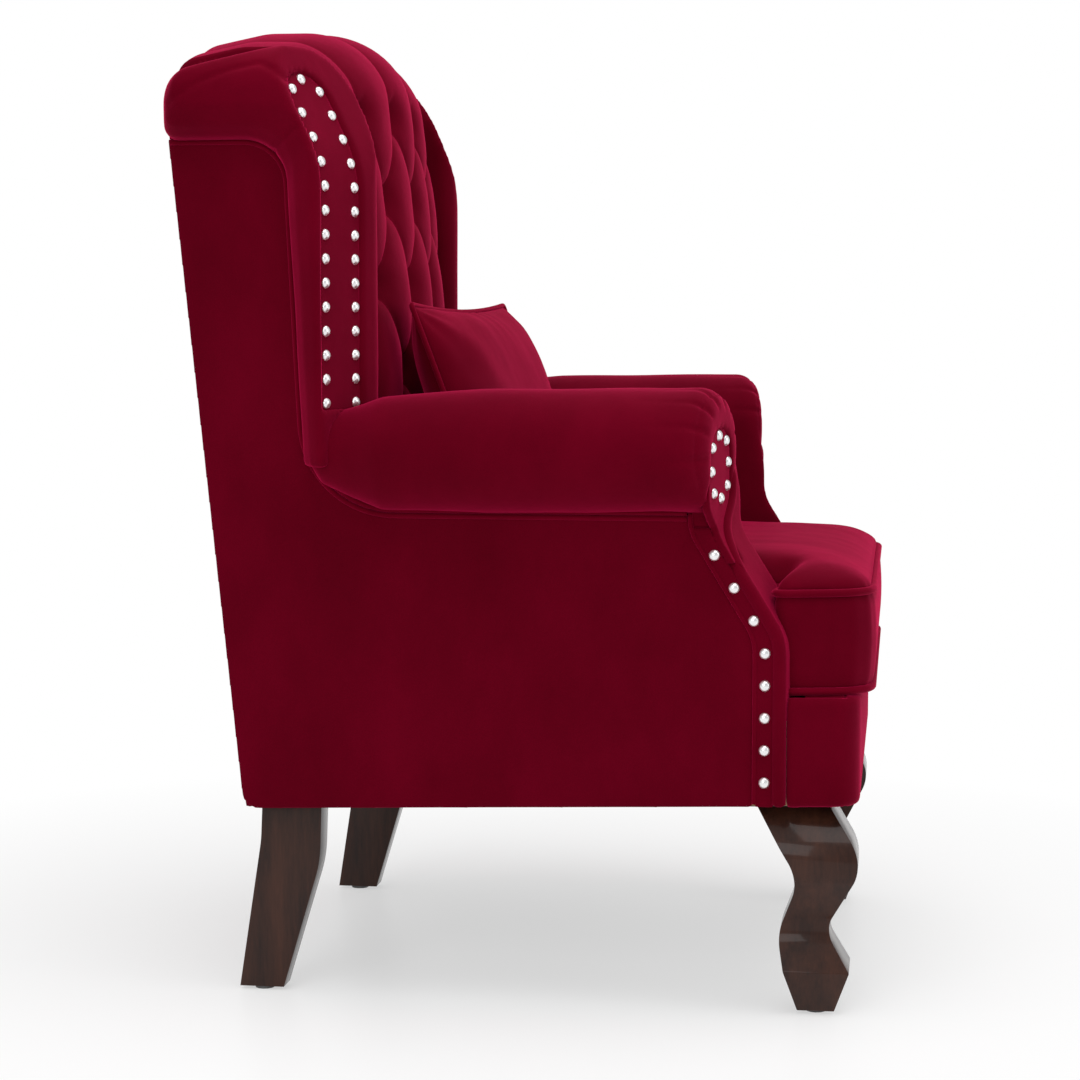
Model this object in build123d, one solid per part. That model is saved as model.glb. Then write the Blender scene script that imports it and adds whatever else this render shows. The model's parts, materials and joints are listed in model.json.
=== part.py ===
from build123d import *
from math import atan2, ceil, cos, degrees, radians, sin, sqrt, tan
import os

os.makedirs("parts", exist_ok=True)

# A wingback chair. Origin on the floor under the middle of the chair, +Z up.
# The front faces -Y, the sitter's left is +X.
# Millimetres and degrees. Shapes are drawn on the left side and mirrored to the right.
# Depths are drawn from the line through the middle of the seat frame.
# Each piece is saved from the middle of the whole.

# Driving sizes of the whole chair
SIDE_X = 312.0
INSIDE_X = 238.0
FRONT_Y = -330.0
REAR_Y = 326.0
BASE_FRONT_Z = 232.0
BASE_REAR_Z = 214.0
BACK_RAKE = 6.0
CREST_Z = 1080.0
SHOULDER_Z = 1044.0
WING_TOP_Z = 1041.0
ARM_TOP_Z = 677.0
MIDDLE_Y = 25.6
FIT = 0.3
OVERRUN = 40.0

# Cloth panels, rails and boards of the frame
SKIN = 8.0
FRAME_THICK = 28.0
POST_DEPTH = 42.0
POST_TOP_Z = 938.0
RAIL_THICK = 40.0
RAIL_HEIGHT = 92.0
REAR_RAIL_THICK = 34.0
TENON_LENGTH = 18.0
TENON_THICK = 12.0
TENON_SHOULDER = 14.0
TENON_FIT = 0.2
REAR_TENON_LENGTH = 7.0
LUMBAR_Z = 440.0
LUMBAR_HEIGHT = 60.0
CREST_RAIL_Z = 900.0
CREST_RAIL_RISE = 92.0
CREST_RAIL_ARCH = 30.0
WEB_THICK = 2.0
WEB_WIDTH = 50.0
WEB_LAP = 30.0
WEB_PITCH = 120.0
WEB_COUNT = 3

# Corner blocks, bolts and glides
BLOCK_SIDE = 72.0
BLOCK_HEIGHT = 58.0
BOLT_RADIUS = 4.0
BOLT_HOLE_FIT = 0.3
BOLT_DEPTH = 45.0
BOLT_HEAD_RADIUS = 8.0
BOLT_HEAD_HEIGHT = 5.5
BOLT_INSET = 20.0
GLIDE_RADIUS = 11.0
GLIDE_HEIGHT = 4.0
GLIDE_SIDES = 12

# Sawn cabriole front legs: outline corners as shares of width and height, radii as shares of width
FRONT_LEG_X = 262.0
FRONT_LEG_Y = -290.0
FRONT_LEG_WIDTH = 80.0
FRONT_LEG_FACE_SHARES = (
    (0.26, 1.0, 0.0),
    (0.775, 0.735, 0.56),
    (0.24, 0.385, 0.36),
    (0.575, 0.202, 0.03),
    (0.375, 0.0, 0.0),
)
FRONT_LEG_BACK_SHARES = (
    (-0.125, 0.0, 0.0),
    (-0.31, 0.198, 0.3),
    (-0.4, 0.355, 0.7),
    (-0.1, 0.65, 0.6),
    (-0.725, 1.0, 0.0),
)

# Rear legs, sawn to a sweep: corners (depth, height share) and the size of the foot
REAR_LEG_IN_X = 240.0
REAR_LEG_THICK = 36.0
REAR_LEG_TAPER = 3.0
REAR_LEG_DEPTH = 67.0
REAR_LEG_TOP_Y = 247.0
REAR_LEG_SWEEP_SHARE = 0.66
REAR_LEG_KNEE_Z = 148.0
REAR_LEG_KICK = 46.0
REAR_LEG_FOOT_DEPTH = 50.0
REAR_LEG_BEND = 140.0

# Seat springs and deck, heights above the sloping underside of the rails
SPRING_COUNT = 5
SPRING_PITCH = 88.0
SPRING_WIDTH = 46.0
SPRING_WIRE = 3.8
SPRING_WAVES = 9
CLIP_WIDTH = 18.0
CLIP_DEPTH = 26.0
CLIP_THICK = 1.6
DECK_HOLLOW = 10.0
DECK_TOP = 118.0
DECK_RIM = 10.0
COVER_THICK = 1.4
COVER_INSET = 3.0
COVER_GAP = 2.0

# Front border
BORDER_PAD = 14.0
BORDER_HEIGHT = 113.0
BORDER_CORNER = 26.0
BORDER_EDGE = 7.0
BORDER_GAP = 1.0

# Front of the arms: an S from the scroll down to the base, and the bands that follow it
ARM_FRONT_Y = -196.0
ARM_FOOT_Y = -266.0
ARM_S_TOP_Z = 525.0
ARM_S_FOOT_Z = 410.0
ARM_S_RADIUS = 56.0
ARM_TURN = 14.0
ARM_RIM = 13.0
ARM_RIM_BULGE = 6.0
ARM_STRIP_WIDTH = 18.0
ARM_STRIP_PROUD = 2.0
ARM_RECESS = 3.0
PANEL_THICK = 7.0
SEAM_BAND = 34.0

# Scroll panel of the arm, about its own centre line
ARM_PANEL_HALF = 35.0
ARM_PANEL_TOP_DROP = 43.0
ARM_PANEL_NECK_Z = 528.0
ARM_PANEL_FOOT_Z = 492.0
ARM_PANEL_FOOT_WIDTH = 22.0
ARM_PANEL_RADIUS = 31.0
ARM_NECK_RADIUS = 24.0

# Roll of the arm: it drops and thins to the rear, where it ends round against the wing
ARM_ROLL_REAR_Y = 236.0
ROLL_RADIUS = 66.0
ARM_ROLL_STATION_SHARES = ((0.0, 1.0), (0.62, 0.97), (0.86, 0.84), (0.97, 0.54), (1.0, 0.2))
ARM_ROLL_DROP = 3.0
ARM_BOARD_WIDTH = 64.0
ARM_BOARD_THICK = 24.0
ARM_BOARD_RISE = 4.0
ARM_POST_DEPTH = 44.0

# Wings: outline of the roll seen from the side, and the front that leans back at the top
WING_FRONT_Y = 206.0
WING_BEND_Z = 915.0
WING_LEAN = 25.0
WING_BEND_RADIUS = 150.0
WING_TURN = 25.0
WING_OUT_X = 356.0
WING_FOOT_Z = 600.0
WING_WELT_Z = 942.0
WING_WELT_Y = 272.0
WING_WELT_FOOT_Y = 254.0
WING_WELT_RADIUS = 50.0
WING_CREST_Y = 272.0
WING_CREST_RADIUS = 90.0
WING_REAR_DROP = 32.0
WING_REAR_RADIUS = 40.0
WING_HEM_RADIUS = 10.0
WING_ROLL_RADIUS = 50.0
WING_BULGE = ((0.0, 0.0), (0.4, 3.0), (0.75, 14.0), (1.0, 34.0))
WING_SIDE_RADIUS = 20.0
WING_BACK_GAP = 6.0
WING_RECESS = 4.0
WING_PANEL_X = 314.0
WING_PANEL_HALF = 31.0
WING_PANEL_FOOT_Z = 652.0
WING_PANEL_TOP_Z = 1012.0
WING_PANEL_RADIUS = 29.0
WING_BOARD_INSET = 44.0
WING_BOARD_TOP_Z = 985.0
WING_BOARD_RADIUS = 70.0
WING_WINDOW_HEIGHT = 98.0
WING_WINDOW_DEPTH = 60.0
WING_WINDOW_PITCH = 130.0
WING_WINDOW_COUNT = 2

# Outside side panel
PANEL_CORNER = 18.0
ARM_WELT_Z = 541.0
ARM_WELT_RADIUS = 100.0
SEAM_FOOT_RADIUS = 6.0
WELT_RADIUS = 4.0
WELT_TAPER = 12.0
WELT_ROOM = 0.9

# Tufted back pad: front surface at the centre line, crown across it, diamond grid of buttons
BACK_FRONT_Y = 166.0
BACK_BEND_Z = 700.0
BACK_LEAN = 6.5
BACK_CROWN = 26.0
BACK_BEND_RADIUS = 300.0
BACK_FOOT_RADIUS = 10.0
CREST_FRONT_RADIUS = 98.0
CREST_FALL_Y = 340.0
CREST_FALL = 28.0
CREST_FALL_RADIUS = 70.0
CREST_REAR_RADIUS = 20.0
CREST_REAR_Z = 1034.0
TUFT_DEPTH = 30.0
TUFT_PLEAT = 15.0
TUFT_PITCH_X = 118.0
TUFT_PITCH_Z = 98.0
TUFT_TOP_Z = 985.0
TUFT_ROWS = 6
BUTTON_RADIUS = 9.0
BUTTON_THICK = 5.0

# Nails
NAIL_RADIUS = 5.5
NAIL_HEIGHT = 3.4
NAIL_PITCH = 26.0
NAIL_INSET = 7.5
NAIL_SEAT = 0.1
STRIP_PITCH = 33.0
DOME_SIDES = 8
DOME_SHARE = 0.5

# Seat cushion, heights above the same slope as the deck
CUSHION_REAR_Y = 160.0
CUSHION_FRONT_Y = -357.0
CUSHION_SIDE_GAP = 1.5
CUSHION_EAR_X = 300.0
CUSHION_EAR_GAP = 3.0
CUSHION_HEM = 114.0
CUSHION_BULGE = 3.5
CUSHION_CROWN = 44.0
CUSHION_CORNER = 40.0
CUSHION_REAR_CORNER = 24.0
CUSHION_EAR_CORNER = 12.0
CUSHION_INNER_CORNER = 8.0
CORNER_STEPS = 3
CUSHION_SIDE_SHARES = ((0.32, 0.8), (0.5, 1.0), (0.68, 0.8))
CUSHION_CROWN_SHARES = ((0.97, 0.16), (0.9, 0.42), (0.78, 0.68), (0.6, 0.88), (0.36, 1.0))

# Throw pillow, leaning on the back
PILLOW_WIDTH = 400.0
PILLOW_HEIGHT = 284.0
PILLOW_THICK = 96.0
PILLOW_LEAN = 20.0
PILLOW_TURN = 6.0
PILLOW_FOOT_Y = 41.1
PILLOW_DRAW_IN = 9.0
PILLOW_SINK = 7.5
PILLOW_WELT = 3.2
PILLOW_SHARES = ((0.93, 0.42), (0.8, 0.72), (0.6, 0.92), (0.34, 1.0))

# Places that follow from the sizes
FRAME_OUT_X = SIDE_X - SKIN
FRAME_IN_X = FRAME_OUT_X - FRAME_THICK
RAIL_IN_X = FRAME_OUT_X - RAIL_THICK
ROLL_X = INSIDE_X + ROLL_RADIUS
ROLL_Z = ARM_TOP_Z - ROLL_RADIUS
BOARD_TOP_Z = ROLL_Z - ARM_BOARD_RISE
SLOPE = (BASE_REAR_Z - BASE_FRONT_Z) / (REAR_Y - FRONT_Y)
RAKE = tan(radians(BACK_RAKE))


# Lines that the frame follows
def base_z(y):
    """Height of the underside of the seat frame, which drops to the rear."""
    return BASE_FRONT_Z + (y - FRONT_Y) * SLOPE


def rear_y(z):
    """Rear face of the chair, raked."""
    return REAR_Y + (z - BASE_REAR_Z) * RAKE


def post_front_y(z):
    return rear_y(z) - SKIN - POST_DEPTH


def on_seat_line(behind, height):
    """Depth where the raked line behind the posts' front crosses the seat's slope at a height above it."""
    level = REAR_Y - SKIN - POST_DEPTH + behind
    rise = BASE_FRONT_Z + height - FRONT_Y * SLOPE - BASE_REAR_Z
    return (level + rise * RAKE) / (1 - SLOPE * RAKE)


def post_foot_y():
    """Front of the posts where they meet the underside of the seat frame."""
    return on_seat_line(0, 0)


# Drawing helpers
def rounded(corners):
    """Closed face through corners (u, v, radius)."""
    points = [(u, v) for u, v, _ in corners]
    radii = [radius for _, _, radius in corners]
    return make_face(FilletPolyline(*points, radius=radii, close=True))


def from_side(face, x_in, x_out):
    """Prism of a face drawn in depth and height, between two planes across the chair."""
    return extrude(Plane.YZ.offset(x_in) * face, x_out - x_in)


def from_front(face, y_front, y_rear):
    """Prism of a face drawn in width and height."""
    return extrude(Plane.XZ.offset(-y_rear) * face, y_rear - y_front)


def from_above(face, z_low, z_high):
    """Prism of a face drawn in width and depth."""
    return extrude(Plane.XY.offset(z_low) * face, z_high - z_low)


def sloping_corners(y_front, y_rear, low, high):
    """Corners of a piece that follows the slope of the seat, heights above the base line."""
    return (
        (y_front, base_z(y_front) + low, 0),
        (y_rear, base_z(y_rear) + low, 0),
        (y_rear, base_z(y_rear) + high, 0),
        (y_front, base_z(y_front) + high, 0),
    )


def sloping_bar(x_in, x_out, y_front, y_rear, low, high):
    return from_side(rounded(sloping_corners(y_front, y_rear, low, high)), x_in, x_out)


def turned(piece, angle, x, y):
    """The piece turned about an upright line through (x, y)."""
    return Pos(x, y, 0) * Rot(0, 0, angle) * Pos(-x, -y, 0) * piece


def save(node, piece):
    """Write a piece, its depth counted from the middle of the whole chair."""
    solids = [Pos(0, -MIDDLE_Y, 0) * solid for solid in piece.solids()]
    export_step(solids[0] if len(solids) == 1 else Compound(children=list(solids)), f"parts/{node}.step")


def save_pair(node, piece):
    save(f"{node}_left", piece)
    save(f"{node}_right", mirror(piece, about=Plane.YZ))


# Seat frame: side rails take the tenons of the front rail, posts take the tenons of rear and side rails
def tenon_bar(x_in, x_out, y_front, y_rear, low, high, fit):
    """Tenon along the chair's width, thinner and lower than its rail by the shoulders."""
    middle = (y_front + y_rear) / 2
    half = TENON_THICK / 2 + fit
    return sloping_bar(
        x_in, x_out, middle - half, middle + half, low + TENON_SHOULDER - fit, high - TENON_SHOULDER + fit
    )


def front_tenon(fit):
    reach = RAIL_IN_X + TENON_LENGTH + fit
    return tenon_bar(-reach, reach, FRONT_Y, FRONT_Y + RAIL_THICK, 0, RAIL_HEIGHT, fit)


def rear_rail_rear_y():
    return post_foot_y() + REAR_RAIL_THICK


def rear_tenon(fit):
    reach = FRAME_IN_X + REAR_TENON_LENGTH + fit
    return tenon_bar(-reach, reach, post_foot_y(), rear_rail_rear_y(), 0, RAIL_HEIGHT, fit)


def side_tenon(fit):
    """Tenon of the side rail into the front face of the post."""
    middle = (FRAME_IN_X + FRAME_OUT_X) / 2
    half = TENON_THICK / 2 + fit
    root = post_foot_y()
    corners = sloping_corners(
        root - TENON_LENGTH, root + TENON_LENGTH + fit,
        TENON_SHOULDER - fit, RAIL_HEIGHT - TENON_SHOULDER + fit
    )
    return from_side(rounded(corners), middle - half, middle + half)


def front_seat_rail():
    bar = sloping_bar(-RAIL_IN_X, RAIL_IN_X, FRONT_Y, FRONT_Y + RAIL_THICK, 0, RAIL_HEIGHT)
    return bar + front_tenon(0)


def rear_seat_rail():
    front = post_foot_y()
    bar = sloping_bar(-FRAME_IN_X, FRAME_IN_X, front, rear_rail_rear_y(), 0, RAIL_HEIGHT)
    return bar + rear_tenon(0)


def side_seat_rail():
    low = post_foot_y()
    high = on_seat_line(0, RAIL_HEIGHT)
    face = rounded(
        (
            (FRONT_Y, base_z(FRONT_Y), 0),
            (low, base_z(low), 0),
            (high, base_z(high) + RAIL_HEIGHT, 0),
            (FRONT_Y, base_z(FRONT_Y) + RAIL_HEIGHT, 0),
        )
    )
    rail = from_side(face, RAIL_IN_X, FRAME_OUT_X)
    rear_rail_room = sloping_bar(
        RAIL_IN_X, FRAME_IN_X, low, rear_rail_rear_y(), 0, RAIL_HEIGHT
    )
    return rail - rear_rail_room + side_tenon(0) - front_tenon(TENON_FIT)


def back_post():
    foot = post_foot_y()
    heel = on_seat_line(POST_DEPTH, 0)
    face = rounded(
        (
            (foot, base_z(foot), 0),
            (heel, base_z(heel), 0),
            (post_front_y(POST_TOP_Z) + POST_DEPTH, POST_TOP_Z, 0),
            (post_front_y(POST_TOP_Z), POST_TOP_Z, 0),
        )
    )
    post = from_side(face, FRAME_IN_X, FRAME_OUT_X)
    return post - rear_tenon(TENON_FIT) - side_tenon(TENON_FIT) - crest_tenon(TENON_FIT)


def raked_slab(front_gap, depth, z_low, z_high, x_half):
    """Slab that leans with the posts, its front face behind theirs by front_gap."""
    face = rounded(
        (
            (post_front_y(z_low) + front_gap, z_low, 0),
            (post_front_y(z_low) + front_gap + depth, z_low, 0),
            (post_front_y(z_high) + front_gap + depth, z_high, 0),
            (post_front_y(z_high) + front_gap, z_high, 0),
        )
    )
    return from_side(face, -x_half, x_half)


def lumbar_rail():
    return raked_slab(0, REAR_RAIL_THICK, LUMBAR_Z, LUMBAR_Z + LUMBAR_HEIGHT, FRAME_IN_X)


def crest_tenon(fit):
    gap = (REAR_RAIL_THICK - TENON_THICK) / 2 - fit
    low = CREST_RAIL_Z + TENON_SHOULDER - fit
    high = POST_TOP_Z - TENON_SHOULDER + fit
    return raked_slab(gap, TENON_THICK + 2 * fit, low, high, FRAME_IN_X + TENON_LENGTH + fit)


def crest_rail():
    """Arched top rail between the posts."""
    side_z = CREST_RAIL_Z + CREST_RAIL_RISE - CREST_RAIL_ARCH
    top = CREST_RAIL_Z + CREST_RAIL_RISE
    outline = make_face(
        [
            Line((-INSIDE_X, side_z), (-INSIDE_X, POST_TOP_Z)),
            Line((-INSIDE_X, POST_TOP_Z), (-FRAME_IN_X, POST_TOP_Z)),
            Line((-FRAME_IN_X, POST_TOP_Z), (-FRAME_IN_X, CREST_RAIL_Z)),
            Line((-FRAME_IN_X, CREST_RAIL_Z), (FRAME_IN_X, CREST_RAIL_Z)),
            Line((FRAME_IN_X, CREST_RAIL_Z), (FRAME_IN_X, POST_TOP_Z)),
            Line((FRAME_IN_X, POST_TOP_Z), (INSIDE_X, POST_TOP_Z)),
            Line((INSIDE_X, POST_TOP_Z), (INSIDE_X, side_z)),
            ThreePointArc((INSIDE_X, side_z), (0, top), (-INSIDE_X, side_z)),
        ]
    )
    slab = raked_slab(0, REAR_RAIL_THICK, CREST_RAIL_Z, top, FRAME_IN_X)
    return (slab & from_front(outline, 0, REAR_Y + CREST_Z)) + crest_tenon(0)


def back_webbing():
    """Upright straps from the lumbar rail to the crest rail."""
    low = LUMBAR_Z + LUMBAR_HEIGHT - WEB_LAP
    strap = raked_slab(-WEB_THICK, WEB_THICK, low, CREST_RAIL_Z + WEB_LAP, WEB_WIDTH / 2)
    first = -(WEB_COUNT - 1) / 2 * WEB_PITCH
    return [Pos(first + WEB_PITCH * step, 0, 0) * strap for step in range(WEB_COUNT)]


# Corner blocks, with the bolts that hold the legs
def bolt_places():
    """Bolt axes on the left side, front then rear."""
    x = RAIL_IN_X - BOLT_INSET
    front = FRONT_Y + RAIL_THICK + BOLT_INSET
    rear = post_foot_y() - BOLT_INSET
    return ((x, front), (x, rear))


def block(rear):
    side = post_foot_y() if rear else FRONT_Y + RAIL_THICK
    away = -BLOCK_SIDE if rear else BLOCK_SIDE
    plan = make_face(
        Polyline((RAIL_IN_X, side), (RAIL_IN_X, side + away), (RAIL_IN_X - BLOCK_SIDE, side), close=True)
    )
    low, high = min(side, side + away), max(side, side + away)
    return from_above(plan, 0, CREST_Z) & sloping_bar(0, RAIL_IN_X, low, high, 0, BLOCK_HEIGHT)


def bolt_shank(place, fit):
    x, y = place
    low = base_z(y) - BOLT_DEPTH
    height = BOLT_DEPTH + BLOCK_HEIGHT
    return Pos(x, y, low) * extrude(Circle(BOLT_RADIUS + fit), height + fit)


def bolt(place):
    x, y = place
    head_z = base_z(y) + BLOCK_HEIGHT
    drop = BOLT_HEAD_RADIUS * abs(SLOPE)
    head = Pos(x, y, head_z + drop) * extrude(RegularPolygon(BOLT_HEAD_RADIUS, 6), BOLT_HEAD_HEIGHT)
    return bolt_shank(place, 0) + Pos(x, y, head_z) * extrude(Circle(BOLT_RADIUS), 2 * drop) + head


def corner_blocks():
    left = [
        block(rear) - bolt_shank(place, BOLT_HOLE_FIT) for rear, place in zip((False, True), bolt_places())
    ]
    return left + [mirror(piece, about=Plane.YZ) for piece in left]


def leg_bolts():
    left = [bolt(place) for place in bolt_places()]
    return left + [mirror(piece, about=Plane.YZ) for piece in left]


# Legs
def cabriole_face(centre):
    """S-shaped outline of the front leg, the knee towards smaller values."""
    height = base_z(FRONT_LEG_Y) - GLIDE_HEIGHT
    corners = [
        (
            centre - FRONT_LEG_WIDTH * out,
            GLIDE_HEIGHT + height * up,
            FRONT_LEG_WIDTH * radius,
        )
        for out, up, radius in FRONT_LEG_FACE_SHARES + FRONT_LEG_BACK_SHARES
    ]
    return rounded(corners)


def seat_clip(x_in, x_out, y_front, y_rear):
    """Everything below the underside of the rails."""
    return sloping_bar(x_in, x_out, y_front, y_rear, -BASE_FRONT_Z, 0)


def front_leg():
    """One block sawn twice: the same S from the side and from the front."""
    reach = FRONT_LEG_WIDTH + OVERRUN
    from_the_side = from_side(cabriole_face(FRONT_LEG_Y), FRONT_LEG_X - reach, FRONT_LEG_X + reach)
    from_the_front = mirror(
        from_front(cabriole_face(-FRONT_LEG_X), FRONT_LEG_Y - reach, FRONT_LEG_Y + reach), about=Plane.YZ
    )
    clip = seat_clip(0, FRONT_LEG_X + reach, FRONT_LEG_Y - reach, FRONT_LEG_Y + reach)
    return (from_the_side & from_the_front & clip) - bolt_shank(bolt_places()[0], BOLT_HOLE_FIT)


def rear_leg_foot_y():
    return REAR_LEG_TOP_Y + REAR_LEG_KICK


def rear_leg():
    top = BASE_FRONT_Z
    low = GLIDE_HEIGHT
    knee_rear = REAR_LEG_TOP_Y + REAR_LEG_DEPTH + REAR_LEG_TAPER
    face = rounded(
        (
            (REAR_LEG_TOP_Y, top, 0),
            (REAR_LEG_TOP_Y + REAR_LEG_TAPER, REAR_LEG_KNEE_Z, REAR_LEG_BEND),
            (rear_leg_foot_y(), low, 0),
            (rear_leg_foot_y() + REAR_LEG_FOOT_DEPTH, low, 0),
            (knee_rear, REAR_LEG_KNEE_Z * REAR_LEG_SWEEP_SHARE + BASE_REAR_Z * (1 - REAR_LEG_SWEEP_SHARE),
             REAR_LEG_BEND),
            (REAR_LEG_TOP_Y + REAR_LEG_DEPTH, top, 0),
        )
    )
    out_x = REAR_LEG_IN_X + REAR_LEG_THICK
    taper = rounded(
        (
            (REAR_LEG_IN_X, top, 0),
            (REAR_LEG_IN_X + REAR_LEG_TAPER, low, 0),
            (out_x - REAR_LEG_TAPER, low, 0),
            (out_x, top, 0),
        )
    )
    sawn = from_side(face, REAR_LEG_IN_X, out_x) & from_front(taper, 0, REAR_Y + REAR_LEG_DEPTH)
    clip = seat_clip(REAR_LEG_IN_X, out_x, 0, REAR_Y + REAR_LEG_DEPTH)
    return (sawn & clip) - bolt_shank(bolt_places()[1], BOLT_HOLE_FIT)


def leg_glides():
    front_out = (FRONT_LEG_FACE_SHARES[-1][0] + FRONT_LEG_BACK_SHARES[0][0]) / 2 * FRONT_LEG_WIDTH
    rear_x = REAR_LEG_IN_X + REAR_LEG_THICK / 2
    rear = rear_leg_foot_y() + REAR_LEG_FOOT_DEPTH / 2
    places = ((FRONT_LEG_X + front_out, FRONT_LEG_Y - front_out), (rear_x, rear))
    disc = extrude(RegularPolygon(GLIDE_RADIUS, GLIDE_SIDES), GLIDE_HEIGHT)
    left = [Pos(x, y, 0) * disc for x, y in places]
    return left + [mirror(piece, about=Plane.YZ) for piece in left]


# Springs, clips, deck and dust cover
def seat_plane(height):
    """Plane that slopes with the seat at a height above its underside."""
    tilt = degrees(atan2(-SLOPE, 1))
    return Plane(Location((0, FRONT_Y, base_z(FRONT_Y) + height), (-tilt, 0, 0)))


def spring_span():
    return FRONT_Y + RAIL_THICK / 2, post_foot_y() + REAR_RAIL_THICK / 2


def sinuous_spring():
    """Zigzag wire from the front rail to the rear rail, drawn flat."""
    start, end = spring_span()
    length = end - start
    wave = length / (SPRING_WAVES + 1)
    half = SPRING_WIDTH / 2
    points = [(0, 0), (0, wave / 4)]
    for step in range(SPRING_WAVES):
        side = half if step % 2 else -half
        middle = wave * (step + 1 - 1 / 4)
        points += [(side, middle - wave / 8), (side, middle + wave / 2)]
    points += [(0, length - wave / 8), (0, length)]
    wire = trace(Polyline(*points), SPRING_WIRE)
    return extrude(wire, SPRING_WIRE)


def spring_places():
    first = -(SPRING_COUNT - 1) / 2 * SPRING_PITCH
    return [first + SPRING_PITCH * step for step in range(SPRING_COUNT)]


def seat_springs():
    start, _ = spring_span()
    plane = seat_plane(RAIL_HEIGHT)
    spring = sinuous_spring()
    return [plane * Pos(x, start - FRONT_Y, 0) * spring for x in spring_places()]


def spring_clips():
    """Bent plates over the two ends of each spring."""
    clips = []
    for x in spring_places():
        for y in spring_span():
            low = RAIL_HEIGHT
            high = RAIL_HEIGHT + SPRING_WIRE + FIT + CLIP_THICK
            outer = sloping_bar(
                x - CLIP_WIDTH / 2, x + CLIP_WIDTH / 2, y - CLIP_DEPTH / 4, y + CLIP_DEPTH / 4, low, high
            )
            slot = SPRING_WIRE / 2 + FIT
            clips.append(
                outer - sloping_bar(x - slot, x + slot, y - CLIP_DEPTH, y + CLIP_DEPTH,
                                    low, high - CLIP_THICK)
            )
    return clips


def seat_deck():
    """T-shaped pad over the springs, hollow below where they work."""
    rear = post_foot_y() + REAR_RAIL_THICK
    ear = arm_face_y(INSIDE_X, ARM_FOOT_Y) - BORDER_GAP
    main = sloping_bar(-INSIDE_X, INSIDE_X, FRONT_Y, rear, RAIL_HEIGHT, DECK_TOP)
    front = sloping_bar(-FRAME_OUT_X, FRAME_OUT_X, FRONT_Y, ear, RAIL_HEIGHT, DECK_TOP)
    hollow = sloping_bar(
        DECK_RIM - INSIDE_X, INSIDE_X - DECK_RIM, FRONT_Y + DECK_RIM, rear - DECK_RIM,
        0, RAIL_HEIGHT + DECK_HOLLOW
    )
    return main + front - hollow


def dust_cover():
    """Thin cloth under the rails, open where the legs meet them."""
    half = FRAME_OUT_X - COVER_INSET
    rear = REAR_Y - SKIN - COVER_INSET
    sheet = sloping_bar(-half, half, FRONT_Y + COVER_INSET, rear, -COVER_THICK, 0)
    for leg in (front_leg(), rear_leg()):
        box = leg.bounding_box()
        top_y = [v.Y for v in leg.vertices() if v.Z > base_z(v.Y) - COVER_THICK]
        top_x = [v.X for v in leg.vertices() if v.Z > base_z(v.Y) - COVER_THICK]
        room = from_above(
            rounded(
                (
                    (min(top_x) - COVER_GAP, min(top_y) - COVER_GAP, 0),
                    (max(top_x) + COVER_GAP, min(top_y) - COVER_GAP, 0),
                    (max(top_x) + COVER_GAP, max(top_y) + COVER_GAP, 0),
                    (min(top_x) - COVER_GAP, max(top_y) + COVER_GAP, 0),
                )
            ),
            box.min.Z,
            BASE_FRONT_Z + OVERRUN,
        )
        sheet = sheet - room - mirror(room, about=Plane.YZ)
    return sheet


# The S of the arm's front, shifted back in depth for each band that follows it
def arm_s(shift):
    top = ARM_TOP_Z + OVERRUN
    return (
        (ARM_FRONT_Y + shift, top, 0),
        (ARM_FRONT_Y + shift, ARM_S_TOP_Z, ARM_S_RADIUS),
        (ARM_FOOT_Y + shift, ARM_S_FOOT_Z, ARM_S_RADIUS),
        (ARM_FOOT_Y + shift, base_z(ARM_FOOT_Y), 0),
    )


def arm_band(shift, width, x_in, x_out, z_low, z_high):
    """Band between two shifted S lines."""
    face = rounded(arm_s(shift) + tuple(reversed(arm_s(shift + width))))
    keep = rounded(
        (
            (ARM_FOOT_Y - OVERRUN, z_low, 0),
            (ARM_FRONT_Y + shift + width + OVERRUN, z_low, 0),
            (ARM_FRONT_Y + shift + width + OVERRUN, z_high, 0),
            (ARM_FOOT_Y - OVERRUN, z_high, 0),
        )
    )
    return from_side(face & keep, x_in, x_out)


def arm_face_y(x, y):
    """Depth of a point of the arm's front once it is turned, from its depth at the roll's centre."""
    turn = radians(ARM_TURN)
    return ARM_FRONT_Y + (y - ARM_FRONT_Y) / cos(turn) - (ROLL_X - x) * tan(turn)


def behind_s(shift, x_in, x_out, depth):
    """Everything behind a shifted S line."""
    rear = ARM_FRONT_Y + depth
    corners = arm_s(shift) + (
        (rear, base_z(ARM_FOOT_Y), 0),
        (rear, ARM_TOP_Z + OVERRUN, 0),
    )
    return from_side(rounded(corners), x_in, x_out)


def arm_front_limit():
    """All that lies behind the turned front of the arm."""
    depth = ARM_ROLL_REAR_Y - ARM_FRONT_Y + 2 * OVERRUN
    straight = behind_s(0, 0, 2 * SIDE_X, depth)
    return turned(straight, ARM_TURN, ROLL_X, ARM_FRONT_Y)


# Arm: board, front post, pad with its roll, recessed panel
def arm_roll():
    """Roll of the arm, a stack of rounds that shrink to the rear end."""
    front = ARM_FRONT_Y - OVERRUN
    length = ARM_ROLL_REAR_Y - front
    rounds = []
    for along, size in ARM_ROLL_STATION_SHARES:
        radius = ROLL_RADIUS * size
        drop = ARM_ROLL_DROP * along + (ROLL_RADIUS - radius) / 3
        centre_z = ROLL_Z - ARM_ROLL_DROP * along + (0 if size == 1 else drop / 4)
        plane = Plane(Location((ROLL_X, front + length * along, centre_z), (90, 0, 0)))
        rounds.append(plane * Circle(radius))
    return loft(rounds, ruled=True)


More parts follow.
